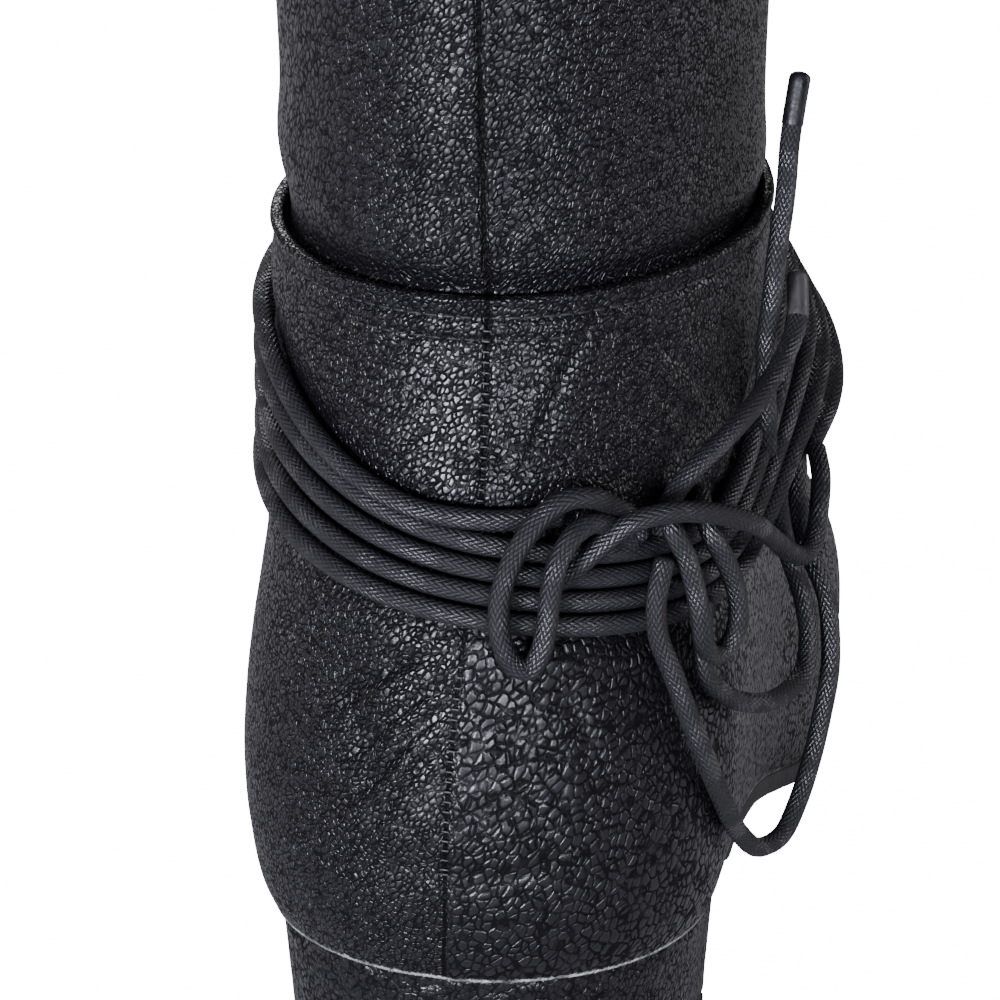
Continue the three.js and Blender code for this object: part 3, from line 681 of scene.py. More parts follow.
# %% The free cord's routes, in metres
routes = {
    "lace_knot_left": [
        (0.0209, 0.0130, 0.1078), (0.0194, 0.0096, 0.1100), (0.0166, 0.0076, 0.1105), (0.0135, 0.0058, 0.1090),
        (0.0107, 0.0036, 0.1054), (0.0089, 0.0018, 0.1015), (0.0080, 0.0006, 0.0969), (0.0083, 0.0003, 0.0924),
        (0.0096, 0.0014, 0.0884), (0.0118, 0.0022, 0.0870), (0.0134, 0.0021, 0.0898), (0.0142, 0.0024, 0.0937),
        (0.0146, 0.0033, 0.0985), (0.0153, 0.0046, 0.1022), (0.0170, 0.0066, 0.1054), (0.0192, 0.0096, 0.1063),
    ],
    "lace_knot_right": [
        (0.0275, 0.0216, 0.1047), (0.0291, 0.0181, 0.1027), (0.0310, 0.0182, 0.0986), (0.0324, 0.0184, 0.0936),
        (0.0333, 0.0185, 0.0891), (0.0336, 0.0194, 0.0855), (0.0344, 0.0217, 0.0826), (0.0358, 0.0242, 0.0820),
        (0.0372, 0.0253, 0.0842), (0.0377, 0.0256, 0.0878), (0.0371, 0.0252, 0.0919), (0.0356, 0.0240, 0.0965),
        (0.0337, 0.0231, 0.1006), (0.0320, 0.0262, 0.1034),
    ],
    "lace_knot_top": [
        (0.0208, 0.0108, 0.1032), (0.0238, 0.0120, 0.1055), (0.0287, 0.0142, 0.1067), (0.0341, 0.0192, 0.1051),
        (0.0390, 0.0284, 0.1003), (0.0410, 0.0380, 0.0942), (0.0428, 0.0450, 0.0893), (0.0446, 0.0500, 0.0870),
        (0.0457, 0.0534, 0.0886), (0.0460, 0.0552, 0.0924),
    ],
    "lace_end_side": [
        (0.0290, 0.0237, 0.1067), (0.0311, 0.0257, 0.1093), (0.0342, 0.0296, 0.1118), (0.0372, 0.0347, 0.1145),
        (0.0396, 0.0420, 0.1172), (0.0414, 0.0485, 0.1203), (0.0420, 0.0520, 0.1230), (0.0414, 0.0560, 0.1280),
    ],
    "lace_end_up": [
        (0.0382, 0.0493, 0.1108), (0.0379, 0.0495, 0.1160), (0.0379, 0.0498, 0.1210), (0.0384, 0.0500, 0.1258),
        (0.0386, 0.0506, 0.1300), (0.0389, 0.0520, 0.1345), (0.0393, 0.0536, 0.1390), (0.0395, 0.0548, 0.1430),
        (0.0396, 0.0560, 0.1480), (0.0400, 0.0572, 0.1526), (0.0405, 0.0584, 0.1570),
    ],
    "lace_loop_long": [
        (0.0279, 0.0145, 0.0878), (0.0299, 0.0159, 0.0815), (0.0321, 0.0168, 0.0749), (0.0343, 0.0184, 0.0680),
        (0.0366, 0.0231, 0.0587), (0.0383, 0.0310, 0.0496), (0.0406, 0.0360, 0.0449), (0.0435, 0.0410, 0.0446),
        (0.0454, 0.0450, 0.0483), (0.0471, 0.0480, 0.0548), (0.0482, 0.0500, 0.0613), (0.0489, 0.0520, 0.0676),
        (0.0485, 0.0540, 0.0735), (0.0474, 0.0560, 0.0785), (0.0450, 0.0580, 0.0827), (0.0429, 0.0600, 0.0866),
        (0.0422, 0.0620, 0.0906),
    ],
    "lace_loop_short": [
        (0.0336, 0.0217, 0.0794), (0.0352, 0.0238, 0.0763), (0.0379, 0.0287, 0.0723), (0.0410, 0.0340, 0.0699),
        (0.0438, 0.0420, 0.0685), (0.0454, 0.0470, 0.0696), (0.0456, 0.0506, 0.0733), (0.0444, 0.0532, 0.0781),
        (0.0430, 0.0544, 0.0816), (0.0416, 0.0550, 0.0850),
    ],
}
ends = {"lace_end_side": 7.0, "lace_end_up": 7.5}
# what runs on out of sight, under the knot and the bunched turns
tucked_before = {
    "lace_knot_left": [(0.0246, 0.0166, 0.1020), (0.0231, 0.0158, 0.1052)],
    "lace_knot_right": [(0.0255, 0.0215, 0.0990), (0.0262, 0.0222, 0.1030)],
    "lace_knot_top": [(0.0150, 0.0084, 0.0978), (0.0180, 0.0094, 0.1006)],
    "lace_end_side": [(0.0262, 0.0203, 0.0990), (0.0272, 0.0216, 0.1035)],
    "lace_end_up": [(0.0385, 0.0500, 0.1030)],
    "lace_loop_long": [(0.0282, 0.0162, 0.0985), (0.0275, 0.0142, 0.0935)],
    "lace_loop_short": [(0.0330, 0.0226, 0.0900), (0.0332, 0.0215, 0.0845)],
}
tucked_after = {
    "lace_knot_left": [(0.0216, 0.0132, 0.1042), (0.0238, 0.0160, 0.1010)],
    "lace_knot_right": [(0.0312, 0.0290, 0.1040), (0.0318, 0.0306, 0.0996)],
    "lace_knot_top": [(0.0458, 0.0585, 0.0962), (0.0446, 0.0625, 0.0990)],
    "lace_loop_long": [(0.0418, 0.0640, 0.0950), (0.0412, 0.0665, 0.0995)],
    "lace_loop_short": [(0.0404, 0.0558, 0.0890), (0.0396, 0.0565, 0.0935)],
}
cord_paths = {}
for node, route in routes.items():
    whole_route = tucked_before.get(node, []) + route + tucked_after.get(node, [])
    path = smooth_path(np.array(whole_route) * 1000, 0.6)
    cord_paths[node] = path
    free = cord_mesh(node.replace("lace", "cord"), path)
    finish_piece(free, cord_black, "cord", node)
    if node in ends:
        count = int(ends[node] / 0.6)
        sleeve = cord_mesh(node.replace("lace", "sleeve"), path[-count:], CORD / 2 + 0.08, 24)
        finish_piece(sleeve, sleeve_dark if node == "lace_end_up" else sleeve_grey, "cord")
    metres = to_metres(path)

# %% [markdown]
# ## Creases in the leather
#
# A worn boot has a few main creases, and they make it look soft. Each one is laid as a line on
# the surface, in the shoe's own millimetres, with a width and a depth. A soft trough with low ridges
# beside it then moves the fine mesh. Small grain is left to the bump.

# %% Soft noise and crease lines
def soft_noise(points, size, seed):
    """Smooth random values from -1 to 1 that change over about this many millimetres."""
    cell = points / size
    corner = np.floor(cell).astype(np.int64)
    part = cell - corner
    part = part * part * (3 - 2 * part)
    total = np.zeros(points.shape[:-1])
    for dx in (0, 1):
        for dy in (0, 1):
            for dz in (0, 1):
                i, j, k = corner[..., 0] + dx, corner[..., 1] + dy, corner[..., 2] + dz
                mixed = (i * 73856093) ^ (j * 19349663) ^ (k * 83492791) ^ (seed * 2654435)
                value = ((mixed ^ (mixed >> 13)) * 1274126177 & 0xFFFFFF) / 0xFFFFFF * 2 - 1
                weight = ((part[..., 0] if dx else 1 - part[..., 0]) * (part[..., 1] if dy else 1 - part[..., 1])
                          * (part[..., 2] if dz else 1 - part[..., 2]))
                total += value * weight
    return total


seam_heights = (38, 51, 63, 80, 92, 105, 118, 127, 135, 145, 176, 300)
seam_places = (-0.2, 0.5, 0.7, 1.6, 2.5, 3.5, 3.9, 3.8, 3.8, 3.3, 2.8, 2.0)
seam_x = smooth_column(seam_heights, seam_places)


def back_point(x, z):
    """The leather's surface at a place seen from behind: x to the right and z up, in millimetres."""
    x, z = np.broadcast_arrays(np.asarray(x, float), np.asarray(z, float))
    low, high = np.full(x.shape, -1.5), np.full(x.shape, 1.5)
    for _ in range(24):
        middle = (low + high) / 2
        if_left = on_leather(middle, z, 0.0)[..., 0] < x
        low, high = np.where(if_left, middle, low), np.where(if_left, high, middle)
    return on_leather((low + high) / 2, z, 0.0)


def crease_distance(points, line):
    """Distance from each point to a line of points, and how far along the line it is, from 0 to 1."""
    best = np.full(points.shape[:-1], 1e9)
    at = np.zeros(points.shape[:-1])
    for i, (a, b) in enumerate(zip(line[:-1], line[1:])):
        run = b - a
        t = np.clip(((points - a) @ run) / (run @ run), 0, 1)
        d = np.linalg.norm(points - (a + t[..., None] * run), axis=-1)
        closer = d < best
        best = np.where(closer, d, best)
        at = np.where(closer, (i + t) / (len(line) - 1), at)
    return best, at


# name: places seen from behind (x, z), width and depth in millimetres
back_creases = {
    "long fold from the edge": ([(18.3, 134.0), (15.4, 128.5), (12.4, 120.5), (8.9, 111.3)], 0.9, 0.30),
    "second fold beside it": ([(23.0, 130.0), (20.5, 124.0), (16.0, 117.0), (12.0, 111.0)], 0.8, 0.22),
    "side fold upper": ([(23.4, 122.5), (27.0, 118.0), (30.5, 111.0)], 1.2, 0.30),
    "side fold outer": ([(25.0, 128.0), (29.0, 122.0), (31.5, 116.0)], 1.2, 0.28),
    "left pucker under the edge": ([(-4.0, 131.0), (-9.0, 128.0), (-15.0, 127.0)], 0.8, 0.22),
    "left fold": ([(-2.0, 125.0), (-8.0, 120.0), (-14.0, 117.0), (-21.0, 116.0)], 0.9, 0.22),
    "left fan 1": ([(0.5, 84.0), (-4.0, 81.0), (-10.0, 75.0), (-15.0, 69.0)], 0.7, 0.40),
    "left fan 2": ([(0.0, 80.0), (-4.0, 76.5), (-9.0, 70.0), (-16.0, 62.0)], 0.8, 0.48),
    "left fan 3": ([(0.0, 75.0), (-3.5, 71.5), (-8.0, 65.0), (-12.0, 58.0)], 0.7, 0.40),
    "left fan 4": ([(0.8, 87.5), (-5.0, 86.0), (-12.0, 81.0), (-19.0, 74.0)], 0.8, 0.42),
    "left valley": ([(-14.0, 84.0), (-12.5, 77.0), (-10.5, 70.0), (-13.0, 62.0)], 2.6, 0.40),
    "right fan 1": ([(4.0, 81.0), (9.0, 74.0), (14.0, 64.0), (17.0, 56.0)], 0.8, 0.22),
    "right fan 2": ([(15.0, 84.0), (19.0, 76.0), (21.0, 66.0)], 1.4, 0.25),
    "right cross": ([(6.0, 50.0), (12.0, 56.0), (20.0, 62.0)], 0.8, 0.16),
    "seat roll": ([(-20.0, 49.0), (-8.0, 46.0), (6.0, 46.5), (20.0, 50.0)], 2.4, 0.3),
}
crease_lines = []
for name, (places, width, depth) in back_creases.items():
    places = np.array(places)
    crease_lines.append((smooth_path(back_point(places[:, 0], places[:, 1]), 2.0), width, depth))
print(len(crease_lines), "creases laid by hand")


def crease_relief(points):
    """How far the creases push each point in or out, in millimetres."""
    moved = np.zeros(points.shape[:-1])
    for line, width, depth in crease_lines:
        distance, at = crease_distance(points, line)
        fade = np.sin(np.clip(at, 0.03, 0.97) * math.pi) ** 0.5
        moved += fade * depth * (-bell(distance, width) + 0.55 * bell(distance - 2.1 * width, width))
    return moved


# %% [markdown]
# ## Leather material
#
# The grain is not even. It is fine and drawn out along the leg on the shaft, and it swells to flat
# pebbles right of the lower seam. Two sizes of the same grain group are mixed by soft masks. The gloss
# is a thin coat that lies on the islands' tops only, so the valleys stay dull. Their colour is darkened
# as painted shade, and so is a thin line along the back seam. The lowest millimetre is the raw rolled
# edge, scuffed to a pale grey.

# %% Pebbled black leather
def leather_material(name, long_way, coarse_cell, fine_cell, coarse_place, lower_edge, seamed):
    material, tree, shader = new_material(name)
    plain = place_in_mm(tree)
    slant = tree.nodes.new("ShaderNodeVectorRotate")
    slant.rotation_type = "Y_AXIS"
    slant.inputs["Angle"].default_value = math.radians(-34)
    tree.links.new(plain, slant.inputs["Vector"])
    spot = vector_node(tree, "MULTIPLY", slant.outputs[0], (1.0, 1.0, long_way))
    coarse = add_group(tree, grain_group, Place=spot, Cell=coarse_cell, Shake=0.7)
    fine = add_group(tree, grain_group, Place=spot, Cell=fine_cell, Shake=0.7)
    rub = add_group(tree, rub_group, Place=plain, Cloud=16.0)
    patch = ramp(tree, noise(tree, plain, 0.055, 2.0).outputs["Fac"], 0.36, 0.62)
    share = math_node(tree, "ADD", coarse_place(tree), math_node(tree, "MULTIPLY", patch, 0.2), clamp=True)
    height = mix_colour(tree, share, fine.outputs["Height"], coarse.outputs["Height"])
    deep = mix_colour(tree, share, fine.outputs["Valley"], coarse.outputs["Valley"])
    pores = noise(tree, plain, 3.2, 4.0, 0.65).outputs["Fac"]
    tone = mix_colour(tree, rub.outputs["Rub"], (0.0026, 0.0024, 0.0040, 1), (0.0040, 0.0036, 0.0052, 1))
    # painted shade: the base colour is darkened in the grain's valleys
    tone = mix_colour(tree, math_node(tree, "MULTIPLY", deep, 0.8), tone, (0.0018, 0.0018, 0.0022, 1))
    tone = mix_colour(tree, math_node(tree, "MULTIPLY", rub.outputs["Specks"], 0.18), tone, (0.16, 0.16, 0.16, 1))
    if seamed:
        beside = math_node(tree, "ABSOLUTE", attribute(tree, "from_seam"))
        deep = math_node(tree, "MAXIMUM", deep, ramp(tree, beside, 0.20, 0.42, 1.0, 0.0))
        # painted shade: the base colour is darkened in a thin line along the seam's groove
        tone = mix_colour(tree, ramp(tree, beside, 0.20, 0.38, 1.0, 0.0), tone, (0.0008, 0.0008, 0.0009, 1))
    gloss = ramp(tree, deep, 0.0, 1.0, 0.30, 0.80)
    gloss = math_node(tree, "ADD", gloss, math_node(tree, "MULTIPLY", math_node(
        tree, "SUBTRACT", rub.outputs["Rub"], 0.5), 0.04))
    gloss = math_node(tree, "ADD", gloss, math_node(
        tree, "MULTIPLY", math_node(tree, "SUBTRACT", pores, 0.5), 0.12))
    if lower_edge:
        over = attribute(tree, "over_seat")
        ragged = math_node(tree, "MULTIPLY", noise(tree, plain, 1.3, 5.0, 0.75).outputs["Fac"], 2.1)
        raw = math_node(tree, "SUBTRACT", 1.0, ramp(tree, math_node(tree, "SUBTRACT", over, ragged), -0.75, -0.25))
        raw = math_node(tree, "MULTIPLY", raw, ramp(
            tree, noise(tree, plain, 0.22, 4.0).outputs["Fac"], 0.34, 0.58, 0.2, 1.0))
        tone = mix_colour(tree, raw, tone, (0.46, 0.46, 0.47, 1))
        gloss = math_node(tree, "ADD", gloss, math_node(tree, "MULTIPLY", raw, 0.4), clamp=True)
    tree.links.new(tone, shader.inputs["Base Color"])
    tree.links.new(gloss, shader.inputs["Roughness"])
    shader.inputs["Specular IOR Level"].default_value = 0.07
    tree.links.new(ramp(tree, deep, 0.05, 0.85, 1.0, 0.1), shader.inputs["Coat Weight"])
    shader.inputs["Coat Roughness"].default_value = 0.29
    wrinkle = noise(tree, spot, 0.28, 3.0, 0.55, 0.8).outputs["Fac"]
    normal = bump(tree, shader, wrinkle, 0.9, 0.10)
    relief = math_node(tree, "ADD", height, math_node(tree, "MULTIPLY", pores, 0.14))
    bump(tree, shader, relief, 0.15, 1.0, under=normal)
    return material


def right_of_lower_seam(tree):
    side = ramp(tree, attribute(tree, "from_seam"), -1.0, 2.5)
    low = ramp(tree, attribute(tree, "over_seat"), 46.0, 62.0, 1.0, 0.15)
    return math_node(tree, "MULTIPLY", side, low)


def beside_the_shaft_seam(tree):
    return ramp(tree, attribute(tree, "from_seam"), -12.0, -26.0, 0.0, 0.6)


quarter_leather = leather_material("quarter leather", 0.72, 1.28, 0.78, right_of_lower_seam, True, True)
shaft_leather = leather_material("shaft leather", 0.6, 1.1, 0.72, beside_the_shaft_seam, False, True)
print("materials:", quarter_leather.name, shaft_leather.name)

# %% Lining
lining, tree, shader = new_material("lining leather")
spot = place_in_mm(tree)
grain = add_group(tree, grain_group, Place=spot, Cell=0.7, Shake=0.4)
cloud = noise(tree, spot, 0.05, 4.0).outputs["Fac"]
tone = mix_colour(tree, cloud, (0.030, 0.026, 0.022, 1), (0.060, 0.050, 0.040, 1))
tree.links.new(tone, shader.inputs["Base Color"])
tree.links.new(ramp(tree, cloud, 0.3, 0.7, 0.62, 0.8), shader.inputs["Roughness"])
bump(tree, shader, grain.outputs["Height"], 0.06, 0.8)
print("material:", lining.name)

# %% [markdown]
# ## The quarters
#
# The outer layer of the foot is a pair of quarters closed at the back seam. Their top is turned in over
# the shaft as a rounded edge with a stitched line under it. The mesh is finest behind, where the eye
# rests. The leather dips under the cord and swells beside it, and the seam is a narrow groove between two
# low welts.

# %% Quarter surface
def round_columns(count, crowding):
    """Turns round the leg, closer together behind."""
    t = np.arange(count) / count
    return 2 * math.pi * t - crowding * np.sin(2 * math.pi * t)


columns = round_columns(320, 0.45)
levels = np.concatenate([np.linspace(0, 2, 26)[:-1], np.linspace(2, 11, 150)[:-1], np.linspace(11, 12, 36)])
quarter_base = foot_point(levels[:, None], columns[None, :])
quarter_normal = ring_normals(quarter_base)
turn_signed = np.where(columns > math.pi, columns - 2 * math.pi, columns)
is_back = (np.abs(turn_signed) < 1.2)[None, :]
far_side = 60 * np.sign(turn_signed)[None, :]
from_seam = np.where(is_back, quarter_base[..., 0] - seam_x(quarter_base[..., 2]), far_side)
share_round = (1 - np.cos(columns)) / 2
front_top = sole_line(ANKLE_FRONT) + lift(TOP_LEVEL) * QUARTER_HEIGHT
edge_line = (EDGE_HEIGHT * (1 - share_round) + front_top * share_round)[None, :]
under_edge = edge_line - quarter_base[..., 2]
over_seat = quarter_base[..., 2] - sole_line(quarter_base[..., 1])
print("quarter rings:", quarter_base.shape[:2])

# %% Quarter relief
relief = 0.22 * soft_noise(quarter_base, 24.0, 3) + 0.05 * soft_noise(quarter_base, 9.0, 5)
relief *= smooth_step(over_seat, 1.0, 8.0) * smooth_step(under_edge, 0.5, 5.0)
relief += crease_relief(quarter_base + quarter_normal * QUARTER_STEP)
relief += -0.55 * bell(from_seam, 0.34) + 0.16 * bell(np.abs(from_seam) - 1.0, 0.65)
right_lip = smooth_step(from_seam, 0.2, 0.8) * smooth_step(-from_seam, -14, -4)
relief += 0.20 * right_lip * smooth_step(-over_seat, -60, -48)

# the turned edge, the dip of its stitched line and the puckers beside the seam
pucker = 0.5 + 0.5 * np.sin(quarter_base[..., 0] * 2.1 + 0.9 * np.sin(quarter_base[..., 0] * 0.7))
middle_back = bell(from_seam, 17.0)
relief += 0.46 * bell(under_edge - 0.9, 0.8)
relief += -0.30 * bell(under_edge - 3.3, 0.55) * (0.75 + 0.25 * pucker)
relief += middle_back * (0.20 * bell(under_edge - 2.3, 0.5) * pucker + 0.22 * bell(under_edge - 4.6, 0.8) * pucker)
relief += -0.26 * middle_back * bell(under_edge - 6.2, 0.5)

# the cord presses in, and the leather swells a little beside it
near_cord = np.full(quarter_base.shape[:-1], 99.0)
cord_zone = quarter_base[..., 2] > 74
cord_points = wound_path[::4]
flat_points = (quarter_base + quarter_normal * QUARTER_STEP)[cord_zone]
nearest = np.full(len(flat_points), 99.0)
for start in range(0, len(cord_points), 60):
    block = cord_points[start:start + 60]
    nearest = np.minimum(nearest, np.linalg.norm(flat_points[:, None] - block[None], axis=-1).min(axis=1))
near_cord[cord_zone] = nearest
relief += -0.45 * bell(near_cord - 1.2, 1.5) + 0.35 * bell(near_cord - 6.0, 2.6)

# flex creases over the vamp, where the toes bend
height_share = smooth_step(over_seat, 14, 34)
for place, depth in ((150, 0.7), (161, 1.0), (172, 0.8), (184, 0.5)):
    bend = quarter_base[..., 1] - place - 5 * np.sin(quarter_base[..., 0] / 17 + place)
    relief += height_share * depth * (-bell(bend, 2.2) + 0.5 * bell(np.abs(bend) - 4.6, 2.4))
print("relief from %.2f to %.2f mm" % (relief.min(), relief.max()))

# %% Quarter mesh with its turned top and rolled foot
outer = quarter_base + quarter_normal * (QUARTER_STEP + relief)[..., None]
top_base, top_normal = quarter_base[-1], quarter_normal[-1]
turned = []
for angle in np.radians((25, 50, 75, 100, 125, 150)):
    off = 0.72 + (QUARTER_STEP - 0.72 + relief[-1]) * math.cos(angle)
    turned.append(top_base + top_normal * off[:, None] + np.array([0, 0, 0.75 * math.sin(angle)]))
turned.append(top_base + top_normal * 0.05 - np.array([0, 0, 2.5]))
foot_base, foot_normal = quarter_base[0], quarter_normal[0].copy()
foot_normal[:, 2] = 0
rolled = []
for share, drop in ((-0.9, 0.22), (-0.35, 0.10), (0.35, 0.06), (0.8, 0.14)):
    ring = foot_base + foot_normal * (share * QUARTER_STEP)
    ring[:, 2] = sole_line(ring[:, 1]) + drop
    rolled.append(ring)
quarter_rings = np.concatenate([rolled, outer, turned])
quarters = ring_mesh("quarters", quarter_rings)
pad = (len(rolled), len(turned))
store(quarters, "over_seat", np.pad(over_seat, (pad, (0, 0)), mode="edge"))
store(quarters, "from_seam", np.pad(from_seam, (pad, (0, 0)), mode="edge"))
finish_piece(quarters, quarter_leather, "upper_leather", "upper")

# %% [markdown]
# ## The shaft
#
# The shaft is one piece of softer leather, closed behind and tucked into the quarters. It bulges a little
# just over the edge, where the quarters hold it, and it stays open at the top. The same mesh turns over
# at the collar and runs down inside as the lining.

# %% Shaft surface
ups = np.concatenate([np.linspace(-0.03, 0.30, 96)[:-1], np.linspace(0.30, 1.0, 64)])
shaft_base = shaft_point(np.maximum(ups, 0)[:, None], columns[None, :])
shaft_base[..., 2] += np.minimum(ups, 0)[:, None] * SHAFT_HEIGHT
shaft_normal = ring_normals(shaft_base)
shaft_seam = np.where(is_back, shaft_base[..., 0] - seam_x(shaft_base[..., 2]), far_side)
above_edge = shaft_base[..., 2] - edge_line
waves = 0.30 * soft_noise(shaft_base * (1, 1, 0.8), 30.0, 11) + 0.05 * soft_noise(shaft_base, 10.0, 13)
shaft_relief = waves * smooth_step(above_edge, 1, 8) - 0.95 * bell(above_edge, 2.6)
shaft_relief += -0.55 * bell(shaft_seam, 0.36) + 0.22 * bell(np.abs(shaft_seam) - 1.2, 0.8)
left_side = smooth_step(-shaft_base[..., 0], 14, 30)
shaft_relief += left_side * (0.7 * bell(above_edge - 12.5, 5.0) - 0.6 * bell(above_edge - 4.0, 2.6))
shaft_relief += (1 - left_side) * 0.35 * bell(above_edge - 7.0, 4.0) * smooth_step(np.abs(shaft_seam), 2, 8)
shaft_outer = shaft_base + shaft_normal * shaft_relief[..., None]
collar, collar_normal = shaft_base[-1], shaft_normal[-1]
rim = []
for angle in np.radians((30, 60, 90, 120, 150)):
    off = -WALL / 2 + (WALL / 2) * math.cos(angle)
    rim.append(collar + collar_normal * off + np.array([0, 0, 0.8 * math.sin(angle)]))
inner_ups = np.linspace(1, 0.01, 40)
inner_shaft = shaft_point(inner_ups[:, None], columns[None, :])
inner_levels = np.linspace(TOP_LEVEL, 0.05, 60)
inner_foot = foot_point(inner_levels[:, None], columns[None, :])
inner = np.concatenate([inner_shaft, inner_foot])
inner = inner + ring_normals(inner) * WALL
shaft_rings = np.concatenate([shaft_outer, rim, inner])
shaft = ring_mesh("shaft_and_lining", shaft_rings)
outside_rows = len(shaft_outer) + len(rim)
store(shaft, "from_seam", np.pad(shaft_seam, ((0, len(shaft_rings) - len(shaft_seam)), (0, 0)), mode="edge"))
finish_piece(shaft, shaft_leather, "upper_leather", "upper")
shaft.data.materials.append(lining)
row_of_face = np.arange(len(shaft.data.polygons)) // len(columns)
shaft.data.polygons.foreach_set("material_index", (row_of_face >= outside_rows).astype(np.int32))
print("shaft rings:", shaft_rings.shape[:2])

# %% [markdown]
# ## Stitches
#
# Small stitches are hundreds of copies of one short rounded bar, so they are arrays joined into one mesh.
# A line of long stitches holds the turned edge, with a second short line under it behind. The back seam
# shows short bars across its groove, rubbed paler than the rest.

# %% Bars of thread
def bars(name, starts, finishes, radius, material):
    """Many short rounded bars of thread, joined in one mesh."""
    shares = np.array([0.0, 0.12, 0.5, 0.88, 1.0])
    widths = np.array([0.35, 0.9, 1.0, 0.9, 0.35]) * radius
    sides = 6
    turn = np.linspace(0, 2 * math.pi, sides, endpoint=False)
    points, faces = [], []
    quads = ring_faces(len(shares), sides)
    for a, b in zip(starts, finishes):
        ahead = (b - a) / np.linalg.norm(b - a)
        side = np.cross(ahead, (0.21, 0.9, 0.38))
        side /= np.linalg.norm(side)
        other = np.cross(ahead, side)
        circle = np.cos(turn)[:, None] * side + np.sin(turn)[:, None] * other
        first = len(points) * len(shares) * sides
        points.append(np.array([a + (b - a) * s + circle * w for s, w in zip(shares, widths)]).reshape(-1, 3))
        faces += (quads + first).tolist()
        faces.append([first + k for k in range(sides)][::-1])
        faces.append([first + (len(shares) - 1) * sides + k for k in range(sides)])
    finish_piece(add_mesh(name, np.concatenate(points), faces), material, "upper_leather")


def thread_material(name, dark, pale, dull, shiny):
    material, tree, shader = new_material(name)
    twist = noise(tree, place_in_mm(tree), 4.0, 3.0).outputs["Fac"]
    tree.links.new(mix_colour(tree, twist, dark, pale), shader.inputs["Base Color"])
    tree.links.new(ramp(tree, twist, 0.3, 0.7, dull, shiny), shader.inputs["Roughness"])
    bump(tree, shader, twist, 0.08)
    return material


thread = thread_material("black thread", (0.004, 0.004, 0.0045, 1), (0.020, 0.020, 0.022, 1), 0.45, 0.65)
pale_thread = thread_material("rubbed thread", (0.020, 0.020, 0.022, 1), (0.11, 0.11, 0.115, 1), 0.5, 0.3)

stitch_row = int(np.argmin(np.abs(under_edge[:, 0] - 3.3)))
stitch_line = smooth_path(np.concatenate([outer[stitch_row], outer[stitch_row][:1]]), 0.2)
pitch_steps = 12
stitch_at = np.arange(0, len(stitch_line) - pitch_steps, pitch_steps)
bars("edge_stitches", stitch_line[stitch_at], stitch_line[stitch_at + 9], 0.24, thread)
second_row = int(np.argmin(np.abs(under_edge[:, 0] - 6.2)))
beside_seam = np.abs(turn_signed) < 0.42
second_order = np.argsort(turn_signed[beside_seam])
second_line = smooth_path(outer[second_row][beside_seam][second_order], 0.2)
second_at = np.arange(0, len(second_line) - 12, 12)
bars("second_edge_stitches", second_line[second_at], second_line[second_at + 8], 0.2, thread)

bar_heights = np.concatenate([np.arange(41.0, 86.0, 1.45), np.arange(104.0, 132.0, 1.45)])
bar_middle = back_point(seam_x(bar_heights), bar_heights)
reach = np.array([0.55, -0.06, 0.0])
bars("seam_stitches", bar_middle - reach - (0, 0.03, 0), bar_middle + reach - (0, 0.03, 0), 0.13, pale_thread)

# %% [markdown]
# ## The heel
#
# The heel is a block covered in the same leather and drawn tight, with a rubber top lift under it. Its
# outline follows the seat of the upper, and its sides taper slightly. The corners at the breast are
# rounded by the thickness of the cover.

# %% Outlines from the upper's lower edge
def lower_edge(share, sign, margin):
    """The upper's lower edge seen from above, moved out by a margin."""
    def point(s):
        turn = np.arccos(np.clip(1 - 2 * s, -1, 1)) * sign
        turn = np.where(np.abs(turn) < 1e-6, 1e-6 * sign, turn)
        made = foot_point(0.0, turn)
        return made[..., :2]

    before, after = point(np.maximum(0, share - 0.002)), point(np.minimum(1, share + 0.002))
    ahead = after - before
    ahead /= np.linalg.norm(ahead, axis=-1, keepdims=True)
    ahead = np.where((share < 0.002)[:, None], (sign, 0.0), ahead)
    ahead = np.where((share > 0.998)[:, None], (-sign, 0.0), ahead)
    here = point(share)
    margin = np.broadcast_to(margin, share.shape)
    return np.stack([here[:, 0] + sign * ahead[:, 1] * margin, here[:, 1] - sign * ahead[:, 0] * margin], axis=-1)


def share_at(y):
    return (y / LAST_LENGTH - back(0)) / (along_share(0) - back(0))


def rounded_outline(points, radius, spacing):
    """A closed outline at even spacing, its corners softened by averaging over a short run."""
    closed = np.concatenate([points, points[:1]])
    run = np.concatenate([[0], np.cumsum(np.linalg.norm(np.diff(closed, axis=0), axis=1))])
    even = np.linspace(0, run[-1], int(run[-1] / spacing), endpoint=False)
    ring = np.stack([np.interp(even, run, closed[:, k]) for k in range(2)], axis=-1)
    for _ in range(int((radius / spacing) ** 2 * 2)):
        ring = 0.5 * ring + 0.25 * (np.roll(ring, 1, axis=0) + np.roll(ring, -1, axis=0))
    return ring


def outline(first, last_share, margin, count=160, radius=1.2, spacing=0.8):
    shares = first + (last_share - first) * (1 - np.cos(np.linspace(0, math.pi, count))) / 2
    lateral = lower_edge(shares, 1.0, margin(shares))
    medial = lower_edge(shares, -1.0, margin(shares))
    return rounded_outline(np.concatenate([lateral, medial[::-1]]), radius, spacing)


heel_outline = outline(0.0, share_at(HEEL_LENGTH), lambda s: 0 * s, radius=1.4)
print("heel outline points:", len(heel_outline))


def inset(ring, amount):
    """Moves a closed outline out by an amount, along its own normals."""
    ahead = np.roll(ring, -1, axis=0) - np.roll(ring, 1, axis=0)
    ahead /= np.linalg.norm(ahead, axis=1, keepdims=True)
    return ring + np.stack([ahead[:, 1], -ahead[:, 0]], axis=-1) * amount


def slab_rings(ring, rows):
    """Rings of a slab. Each row gives the outline's margin and the height of every point."""
    made = []
    for margin, height in rows:
        flat = inset(ring, margin)
        z = height(flat[:, 1]) if callable(height) else np.full(len(flat), float(height))
        made.append(np.column_stack([flat, z]))
    return np.array(made)


